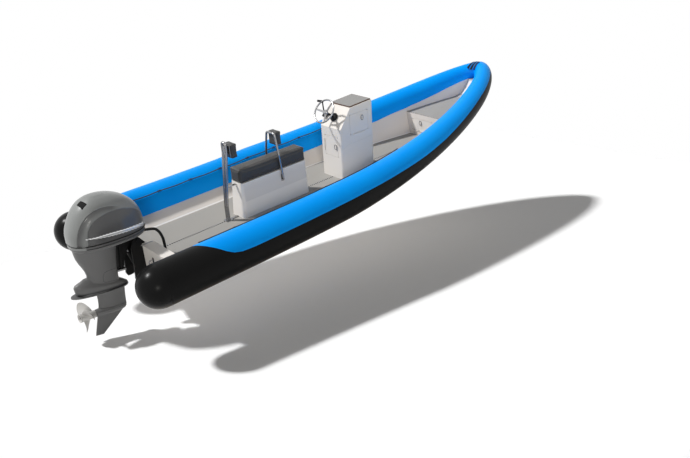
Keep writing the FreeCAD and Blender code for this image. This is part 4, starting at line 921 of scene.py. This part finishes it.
def build_hose():
    """Rigging hose in two lengths, one at the deck and one at the motor."""
    line = route_line(HOSE_ROUTE)
    half = next(i for i in range(len(line)) if length_of(line[i:]) < length_of(line) * 0.5)
    fore, aft = line[half:], line[:half + 1]
    for name, part, bodies in (("hose_at_deck", list(reversed(fore)), ("boat", "swivel")),
                               ("hose_at_motor", list(reversed(aft)), ("swivel", "motor"))):
        piece = tube_on(name, part, HOSE_RADIUS, "boat", 24)
        piece.data.materials.append(MATERIALS["hose"])
        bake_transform(piece)
        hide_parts("rigging_hose")
        length_of(part)


# The outboard motor, drawn upright about its tilt axis and then trimmed

TRIMMED = Matrix.Translation((-0.050, 0, 0.345)) @ Matrix.Rotation(math.radians(7), 4, "Y")
ON_SEAM = TRIMMED @ Matrix.Translation((-0.281, 0, 0.078)) @ Matrix.Rotation(math.radians(-3.8), 4, "Y")
COWL_HALF_LENGTH = 0.431
COWL_HALF_WIDTH = 0.225
COWL_HEIGHT = 0.516
COWL_POINTS = 300
COWL_FINE = 24
PLATE_LEVEL = -0.525
SHAFT_LEVEL = -0.800

# Share of the cowl's height, front end, rear end and half width, from the seam up
COWL_SECTIONS = [(0.0, 1.0, 1.0, 1.0), (0.14, 0.99, 1.02, 1.035), (0.33, 0.955, 1.01, 1.03),
                 (0.54, 0.875, 0.92, 0.985), (0.72, 0.72, 0.80, 0.89), (0.86, 0.51, 0.65, 0.74),
                 (0.95, 0.26, 0.48, 0.52), (1.0, 0.02, 0.34, 0.27)]

# Edges of the cowl's side panel and of the long crease over it: degrees from forward,
# metres from the panel's middle
PANEL_MIDDLE = (-0.25, 0.52)
PANEL_EDGE = [(-40, 0.40), (0, 0.36), (38, 0.330), (63, 0.300), (95, 0.300), (119, 0.330), (139, 0.372),
              (155, 0.382), (174, 0.372), (200, 0.40)]
CREASE_EDGE = [(60, 0.300), (86, 0.333), (97, 0.350), (112, 0.393), (125, 0.424), (135, 0.442),
               (149, 0.454), (163, 0.462), (185, 0.47)]


def smooth_sections():
    """The cowl's sections with more between each two."""
    rows = through([row[:3] for row in COWL_SECTIONS], COWL_FINE)
    sides = through([(row[3], 0, 0) for row in COWL_SECTIONS], COWL_FINE)
    return [(row.x, row.y, row.z, side.x) for row, side in zip(rows, sides)]


COWL_STEPS = smooth_sections()


def cowl_section(level, extra=0.0):
    """A level ring of the cowl; the level counts sections."""
    height, front, rear, side = COWL_STEPS[level]
    low, high = -rear * COWL_HALF_LENGTH - extra, front * COWL_HALF_LENGTH + extra
    half = side * COWL_HALF_WIDTH + extra
    middle = low + (high - low) * 0.45
    return [Vector((middle + bulged(c, 0.8) * (high - middle if c > 0 else middle - low),
                    bulged(d, 0.8) * half, height * COWL_HEIGHT)) for c, d in circle(COWL_POINTS)]


def crease_depth(point):
    """How far a point is into the cowl's sunk side panel and under its long crease, both up to 1."""
    out = abs(point.y) / COWL_HALF_WIDTH
    away = Vector((point.x - PANEL_MIDDLE[0], point.z - PANEL_MIDDLE[1]))
    angle, reach = math.degrees(math.atan2(away.y, away.x)), away.length
    weight = smooth_step(0.25, 0.5, out)
    panel = smooth_step(0.0, 0.016, between(PANEL_EDGE, angle) - reach)
    inside = between(CREASE_EDGE, angle) - reach
    fading = 1 - 0.7 * smooth_step(0.01, 0.07, inside)
    crease = smooth_step(0.0, 0.005, inside) * fading * smooth_step(76, 100, angle)
    return weight * panel, weight * crease


def build_cowl():
    """The cowl's shell, and the tree that trim is laid on it with."""
    rings = [[ON_SEAM @ point for point in cowl_section(level)] for level in range(len(COWL_STEPS))]
    top = rings[-1]
    middle = sum(top, Vector()) / len(top)
    rise = (ON_SEAM.to_3x3() @ Vector((0, 0, 1))) * 0.006
    for share in (0.85, 0.65, 0.4, 0.15):
        rings.append([middle + (point - middle) * share + rise * (1 - share * share) for point in top])
    form = bmesh.new()
    bridge_rings(form, rings)
    outward(form)
    form.normal_update()
    sinks = [(*crease_depth(vertex.co), vertex.normal.copy()) for vertex in form.verts]
    for vertex, (panel, crease, normal) in zip(form.verts, sinks):
        vertex.co -= normal * (0.007 * panel + 0.013 * crease)
    piece = finish_mesh("cowl_shell", form, "motor")
    # The sink depths are kept on the mesh as the masks of the cowl's painted shade.
    for index, name in enumerate(("panel", "crease")):
        readings = piece.data.attributes.new(name, "FLOAT", "POINT").data
        readings.foreach_set("value", [sink[index] for sink in sinks])
    dress(piece, "cowl", ["top_cowl"])
    return tree_of(piece.data)


def level_of(height):
    """The nearest of the cowl's close sections to a height over the seam."""
    return min(range(len(COWL_STEPS)), key=lambda i: abs(COWL_STEPS[i][0] * COWL_HEIGHT - height))


def build_seam_seal():
    """Rubber seal round the cowl."""
    profile = ((-0.0055, -0.002), (-0.0045, 0.0022), (0.0, 0.003), (0.0045, 0.0022), (0.0055, -0.002))
    level = level_of(0.036)
    rows = [[ON_SEAM @ (point + Vector((0, 0, lift))) for point in cowl_section(level, extra)]
            for lift, extra in profile]
    dress(lofted("cowl_seal", rows, "motor", caps=False), "rubber")


def build_cowl_strips(skin):
    """Bright ribbed strip along each side of the cowl, narrower at its rear end."""
    band = [(-0.630, -0.190, 0.603), (-0.5438, -0.219, 0.591), (-0.4387, -0.2315, 0.580),
            (-0.327, -0.233, 0.566), (-0.208, -0.227, 0.5536), (-0.0785, -0.204, 0.538),
            (0.020, -0.160, 0.520), (0.055, -0.120, 0.508)]
    profile = [(-0.0215, -0.001), (-0.0195, 0.0024), (-0.008, 0.0044), (0.008, 0.0044),
               (0.0195, 0.0024), (0.0215, -0.001)]
    for path, hand in ((band, "starboard"), (mirrored(band), "port")):
        piece = strip_on("cowl_strip_" + hand, skin, path, profile,
                         lambda share: 0.25 + 0.75 * smooth_step(0.0, 0.45, share))
        dress(piece, "strip")


def build_cowl_intake(skin):
    """Framed slot on the rear of the cowl's top, off the middle to starboard."""
    rows = []
    for u in spread(0, 1, 13):
        row = []
        for v in spread(0, 1, 21):
            edge = min(u, 1 - u, v, 1 - v)
            x = -0.563 - 0.006 * v + (0.067 - 0.013 * v) * u
            y = -0.111 + 0.113 * v + 0.006 * u
            spot, normal, _, _ = skin.ray_cast(Vector((x, y, 1.6)), Vector((0, 0, -1)))
            sunk = 0.0016 * smooth_step(0.08, 0.2, edge)
            row.append(spot + normal * (0.0026 * smooth_step(0.0, 0.06, edge) - sunk - 0.0004))
        rows.append(row)
    piece = lofted("cowl_intake", rows, "motor", closed=False, caps=False)
    dress(piece, "grille")


def ring_at(z, front, rear, half, square, lean=0.0):
    """Level ring of the leg, in the motor's upright frame."""
    middle = rear + (front - rear) * 0.55
    ring = []
    for c, d in circle(72):
        x = middle + bulged(c, 2 / square) * (front - middle if c > 0 else middle - rear)
        ring.append(TRIMMED @ Vector((x, bulged(d, 2 / square) * half, z + lean * (x - middle))))
    return ring


def build_skirt():
    """Splash skirt over the plate: metres over it, front, rear, half width and lean of each ring."""
    rings = ((0.001, -0.098, -0.690, 0.090, 0.0), (0.016, -0.094, -0.700, 0.092, -0.01),
             (0.044, -0.100, -0.712, 0.094, -0.07), (0.060, -0.110, -0.716, 0.095, -0.11),
             (0.078, -0.130, -0.706, 0.090, -0.13), (0.100, -0.170, -0.676, 0.078, -0.13),
             (0.125, -0.220, -0.640, 0.064, -0.12), (0.155, -0.280, -0.606, 0.050, -0.10))
    rows = [ring_at(PLATE_LEVEL + over, front, rear, half, 2.2, lean)
            for over, front, rear, half, lean in rings]
    dress(lofted("splash_skirt", rows, "motor"), "skirt")


def build_leg_lines():
    """Seam lines of the leg's cover and of the gearcase, and a crease line on the gearcase, as near-black
    strips of painted shade.
    """
    leg, case = (tree_of(NODES[node].data) for node in ("midsection", "gearcase"))
    line = [(-0.0016, -0.0004), (-0.001, 0.0007), (0.001, 0.0007), (0.0016, -0.0004)]
    cover = [(-0.330, -0.06, -0.060), (-0.400, -0.07, -0.045), (-0.470, -0.08, -0.028),
             (-0.500, -0.08, -0.010), (-0.500, -0.08, 0.040), (-0.480, -0.08, 0.085),
             (-0.430, -0.08, 0.100), (-0.330, -0.06, 0.085)]
    seam = [(-0.640, -0.03, -0.368), (-0.560, -0.04, -0.381), (-0.460, -0.04, -0.397),
            (-0.360, -0.035, -0.412), (-0.290, -0.03, -0.424)]
    lower = [(x, y, z - 0.052) for x, y, z in seam[:-1]]
    for name, skin, path in (("leg_cover_line", leg, cover), ("gearcase_seam", case, seam),
                             ("gearcase_crease", case, lower)):
        for hand, run in (("starboard", path), ("port", mirrored(path))):
            dress(strip_on(name + "_" + hand, skin, run, line), "shadow_line")


def build_mount_cover():
    """Rubber boot that fills the space between the leg and the swivel bracket."""
    rings = ((0.036, -0.186, -0.235, 0.050), (0.020, -0.184, -0.240, 0.066), (-0.120, -0.184, -0.240, 0.062),
             (-0.300, -0.184, -0.236, 0.054), (-0.318, -0.186, -0.232, 0.046))
    rows = [ring_at(*ring, 3.0) for ring in rings]
    dress(lofted("leg_mount_boot", rows, "motor"), "hose")


def lathe(name, profile, centre, axis, body, count=40):
    """Turned piece: (reach, height) pairs round an axis."""
    axis = Vector(axis).normalized()
    across = axis.orthogonal().normalized()
    beside = axis.cross(across)
    form = bmesh.new()
    rows = [[Vector(centre) + axis * height + (across * c + beside * d) * reach for c, d in circle(count)]
            for reach, height in profile]
    bridge_rings(form, rows)
    return finish_mesh(name, outward(form), body)


def on_shaft(x, reach, angle):
    """A point about the propeller's shaft: metres forward, out, and degrees from starboard up."""
    turn = math.radians(angle)
    return TRIMMED @ Vector((x, -reach * math.cos(turn), SHAFT_LEVEL + reach * math.sin(turn)))


BLADE_PLACE = -0.598
BLADE_ROOT = 0.036
BLADE_LENGTH = 0.159
BLADE_CHORD = 0.165
BLADE_PITCH = 0.43
BLADE_RAKE = 0.030


def propeller_blade(angle):
    """Twisted right-handed blade with a thick root and a thin rim."""
    form = bmesh.new()
    rows = []
    for share in spread(0, 1, 25):
        reach = BLADE_ROOT + BLADE_LENGTH * share
        swell = (max(0.0, 1 - (share * 1.55 - 0.62) ** 2 * 0.9)) ** 0.5
        chord = BLADE_CHORD * swell * (1 - share ** 8) ** 0.5 + 0.002
        thick = 0.0075 * (1 - share) + 0.0016
        pitch = math.atan2(BLADE_PITCH / math.tau, reach)
        row = []
        for c, d in circle(36):
            along, off = c * chord / 2, d * thick * (1 - c * c * 0.6) - 0.08 * chord * (1 - c * c)
            around = along * math.cos(pitch) + off * math.sin(pitch)
            x = BLADE_PLACE + along * math.sin(pitch) - off * math.cos(pitch) - BLADE_RAKE * share
            row.append(on_shaft(x, reach, angle - math.degrees(around / reach)))
        rows.append(row)
    bridge_rings(form, rows)
    return finish_mesh("blade", form, "screw")


def build_propeller():
    """Hub with its flared rear end, and three blades."""
    back = TRIMMED.to_3x3() @ Vector((-1, 0, 0))
    centre = TRIMMED @ Vector((0, 0, SHAFT_LEVEL))
    hub = [(0.020, 0.510), (0.041, 0.511), (0.043, 0.516), (0.046, 0.600), (0.047, 0.660), (0.051, 0.684),
           (0.053, 0.689), (0.051, 0.6915), (0.044, 0.6905), (0.040, 0.684), (0.039, 0.650), (0.020, 0.648)]
    pieces = [lathe("hub", hub, centre, back, "screw", 64)]
    pieces += [propeller_blade(angle) for angle in (-90, 30, 150)]
    dress(joined("propeller_casting", pieces), "propeller", ["propeller"])
    bore = [(0.0385, 0.652), (0.0385, 0.655), (0.030, 0.658), (0.014, 0.660), (0.013, 0.676), (0.004, 0.678)]
    dress(lathe("propeller_hub_bore", bore, centre, back, "screw"), "rubber")


HELM_CENTRE = (2.96291, 0, 1.0324)
HELM_AXIS = (-0.806994, 0, 0.590559)
HELM_TO_DASH = 0.218


def build_helm_boot():
    """Rubber boot round the wheel's boss on the dash."""
    profile = [(0.020, -0.001), (0.056, -0.0005), (0.060, 0.004), (0.059, 0.010), (0.050, 0.022),
               (0.043, 0.034), (0.038, 0.036)]
    out = Vector(HELM_AXIS)
    foot = Vector(HELM_CENTRE) - out * HELM_TO_DASH
    dress(lathe("helm_boot", profile, foot, out, "boat", 56), "rubber")


# Console, locker and transom trim

def ring_handle(name, centre, out, up, body):
    """Flush latch's raised oval ring."""
    out, up = Vector(out), Vector(up)
    across = up.cross(out)
    centre = Vector(centre)
    line = [centre + across * bulged(c, 0.75) * 0.019 + up * bulged(d, 0.75) * 0.034
            for c, d in circle(48)]
    dress(tube_on(name, line, 0.0036, body, 12, True), "handle")


def build_latches():
    ring_handle("side_hatch_handle", (3.465, -0.2105, 0.858), (0, -1, 0), (0, 0, 1), "side_hatch")
    ring_handle("aft_hatch_handle", (3.0495, -0.090, 0.518), (-1, 0, 0), (0, 0, 1), "aft_hatch")
    ring_handle("locker_hatch_handle", (5.0845, 0.133, 0.2695), (-1, 0, 0), (0, 0, 1), "locker_hatch")


def build_cap_ends():
    """Sloped inboard ends of the transom's caps, coloured grey as painted shade."""
    section = [(0.1998, 0.2805), (0.1998, 0.2945), (0.192, 0.2948), (0.158, 0.2838), (0.154, 0.2805)]
    for side, hand in SIDES:
        rows = [[Vector((x, side * (y + pull), z - pull * 0.3)) for y, z in section]
                for x, pull in ((-0.0325, 0.002), (-0.030, 0.0), (0.104, 0.0), (0.1065, 0.002))]
        piece = lofted("transom_cap_end_" + hand, rows, "boat", smooth=False)
        dress(piece, "cap_end")


# Camera, floor and light

CAMERA_PLACE = (-3.132, -6.889, 3.906)
CAMERA_TURNS = (47.32, 26.84, 3.3)
CAMERA_LENS = 37.07
SENSOR_WIDTH = 36.0
FLOOR_LEVEL = -0.813
FLOOR_FALL_AHEAD = 0.098
FLOOR_FALL_ASIDE = 0.065
FLOOR_CORNERS = ((-2.6, -5.5), (11, -5.5), (11, 3.2), (-2.6, 3.2))
FLOOR_WHITE = 0.49

# Heights between which the sky fades, and its strength at each
SKY_FADE = (0.0, 0.75, 0.45, 0.15)


def build_camera():
    yaw, pitch, roll = (math.radians(turn) for turn in CAMERA_TURNS)
    look = Vector((math.cos(yaw) * math.cos(pitch), math.sin(yaw) * math.cos(pitch), -math.sin(pitch)))
    level = Vector((math.sin(yaw), -math.cos(yaw), 0))
    down = look.cross(level)
    right = level * math.cos(roll) + down * math.sin(roll)
    up = level * math.sin(roll) - down * math.cos(roll)
    camera = placed("photo_camera", bpy.data.cameras.new("photo_camera"))
    camera.data.lens = CAMERA_LENS
    camera.data.sensor_width = SENSOR_WIDTH
    camera.data.clip_end = 200.0
    camera.matrix_world = Matrix.Translation(CAMERA_PLACE) @ Matrix(
        [[right[i], up[i], -look[i]] for i in range(3)]).to_4x4()
    bpy.context.scene.camera = camera


def seen_directly(nodes):
    """1 for a ray from the camera or off a glossy or clear surface."""
    camera, glossy, clear = (nodes.add("LightPath", {}, output="Is %s Ray" % kind)
                             for kind in ("Camera", "Glossy", "Transmission"))
    return camera.most(glossy).most(clear)


def floor_paint():
    """Matt white that reads as plain white to the eye and still takes a shadow."""
    paint = Paint("pale_floor", grey(0.9), 0.9)
    matt = [paint.add("BsdfDiffuse", {}, grey(FLOOR_WHITE)) for _ in range(2)]
    plain = Socket(paint, paint.shader.outputs[0])
    mixed = paint.add("MixShader", {}, seen_directly(paint), plain, paint.add("AddShader", {}, *matt))
    paint.link(paint.tree.nodes["Material Output"].inputs["Surface"], mixed)
    return paint.material


def build_floor():
    """A pale floor that lies as the photograph's shadow does, bow high over it."""
    mesh = bpy.data.meshes.new("floor")
    mesh.from_pydata([(x, y, FLOOR_LEVEL - FLOOR_FALL_AHEAD * x - FLOOR_FALL_ASIDE * y)
                      for x, y in FLOOR_CORNERS], [], [(0, 1, 2, 3)])
    floor = placed("floor", mesh)
    mesh.materials.append(floor_paint())


def build_world():
    """A studio brighter low down than overhead, and plain white where it is seen directly."""
    world = bpy.data.worlds.new("studio")
    bpy.context.scene.world = world
    world.use_nodes = True
    world.node_tree.nodes.clear()
    nodes = Nodes(world.node_tree)
    up = nodes.add("SeparateXYZ", {}, nodes.add("TexCoord", {}, output="Generated"), output="Z")
    strength = nodes.add("MapRange", {"interpolation_type": "SMOOTHERSTEP"}, up, *SKY_FADE)
    sky, white = (nodes.add("Background", {}, grey(1), power) for power in (strength, 1.0))
    mixed = nodes.add("MixShader", {}, seen_directly(nodes), sky, white)
    nodes.link(nodes.tree.nodes.new("ShaderNodeOutputWorld").inputs[0], mixed)


def build_lamps():
    """One strong lamp from port astern and a weak warm one from starboard, as shadow and walls show."""
    for name, energy, colour, softness, toward in (
            ("key", 3.35, (1, 1, 1), 4, (-0.405, 0.488, 0.773)),
            ("fill", 0.60, (1, 0.97, 0.92), 12, (-0.50, -0.75, 0.32))):
        light = bpy.data.lights.new(name, "SUN")
        light.energy = energy
        light.color = colour
        light.angle = math.radians(softness)
        lamp = placed(name, light)
        toward = Vector(toward)
        lamp.rotation_euler = toward.to_track_quat("Z", "Y").to_euler()
        lamp.location = toward * 10


# The materials, and the CAD nodes that each is put on

MATERIALS = {
    "tube": tube_fabric("tube_fabric"),
    "cone": end_rubber("end_rubber"),
    "hull": gelcoat("hull_gelcoat", GELCOAT),
    "deck": deck_moulding("deck_moulding"),
    "console": console_moulding("console_gelcoat"),
    "seat": seat_moulding("seat_gelcoat"),
    "pad": top_pad("top_pad_foam"),
    "cushion": vinyl("cushion_vinyl", (0.021, 0.0205, 0.020)),
    "steel": metal("polished_steel", (0.30, 0.30, 0.305), 0.16),
    "brushed": metal("brushed_steel", (0.36, 0.36, 0.365), 0.28),
    "black": plastic("black_plastic", (0.014, 0.014, 0.015), 0.4),
    "handle": plastic("handle_plastic", (0.16, 0.16, 0.165), 0.4),
    "rubber": plastic("black_rubber", (0.012, 0.012, 0.012), 0.55, 400.0),
    "tab": plastic("tab_fabric", (0.002, 0.20, 0.66), 0.4, 900.0, 0.0002),
    "webbing": rope_cover("loop_webbing", (0.010, 0.010, 0.012)),
    "hose": plastic("hose_rubber", (0.007, 0.007, 0.007), 0.42, 120.0, 0.001),
    "grille": plastic("intake_grille", (0.002, 0.002, 0.002), 0.7, 300.0, 0.001),
    "skirt": skirt_paint("skirt_paint"),
    # Near-black strips that stand in for the shade in the seams and the crease.
    "shadow_line": plastic("seam_shadow_paint", (0.010, 0.010, 0.010), 0.6, 300.0, 0.0002),
    # Grey that stands in for the shade on the caps' sloped ends.
    "cap_end": gelcoat("cap_end_shaded_gelcoat", (0.42, 0.42, 0.42)),
    "welt": vinyl("welt_vinyl", (0.022, 0.022, 0.023)),
    "barred": barred_rubber("barred_rubber"),
    "strip": striped_steel("striped_steel"),
    "rope": rope_cover("rope", (0.012, 0.012, 0.014)),
    "bracket": plastic("bracket_paint", (0.006, 0.006, 0.006), 0.5, 500.0, 0.0003),
    "cowl": cowl_paint("cowl_paint"),
    "leg": motor_paint("leg_paint", (0.120, 0.120, 0.120), 0.36),
    "engine": plastic("engine_block_paint", (0.05, 0.05, 0.055), 0.5),
    "propeller": motor_paint("propeller_metal", (0.50, 0.49, 0.47), 0.3),
}

FINISH = {
    "hull": ("hull", "transom"),
    "deck": ("deck_liner", "bow_locker"),
    "console": ("bow_locker_hatch", "console_body", "console_side_hatch", "console_aft_hatch"),
    "pad": ("console_top_pad",),
    "seat": ("seat_pod",),
    "black": ("helm_boss", "throttle_control"),
    "steel": ("steering_wheel", "mid_backrest_frame", "rear_backrest_frame", "towing_eye_port",
              "towing_eye_starboard", "bow_eye"),
    "rubber": ("rigging_hose", "hose_deck_boot"),
    "rope": ("lifeline_port", "lifeline_starboard"),
    "barred": ("bow_patch",),
    "bracket": ("clamp_bracket", "tilt_cylinder", "swivel_bracket"),
    "brushed": ("tilt_rod", "steering_shaft"),
    "leg": ("lower_cowl", "midsection", "gearcase"),
    "cowl": ("top_cowl",),
    "engine": ("powerhead",),
    "propeller": ("propeller",),
}


def paint_nodes():
    for finish, nodes in FINISH.items():
        for node in nodes:
            for slot in NODES[node].material_slots:
                slot.material = MATERIALS[finish]


bpy.context.scene.view_settings.view_transform = "Standard"
build_camera()
build_floor()
build_world()
build_lamps()
paint_nodes()
build_tubes()
build_cushions()
build_lifelines()
build_hose()
cowl_skin = build_cowl()
build_seam_seal()
build_cowl_strips(cowl_skin)
build_cowl_intake(cowl_skin)
build_skirt()
build_leg_lines()
build_mount_cover()
build_propeller()
build_helm_boot()
build_latches()
build_cap_ends()
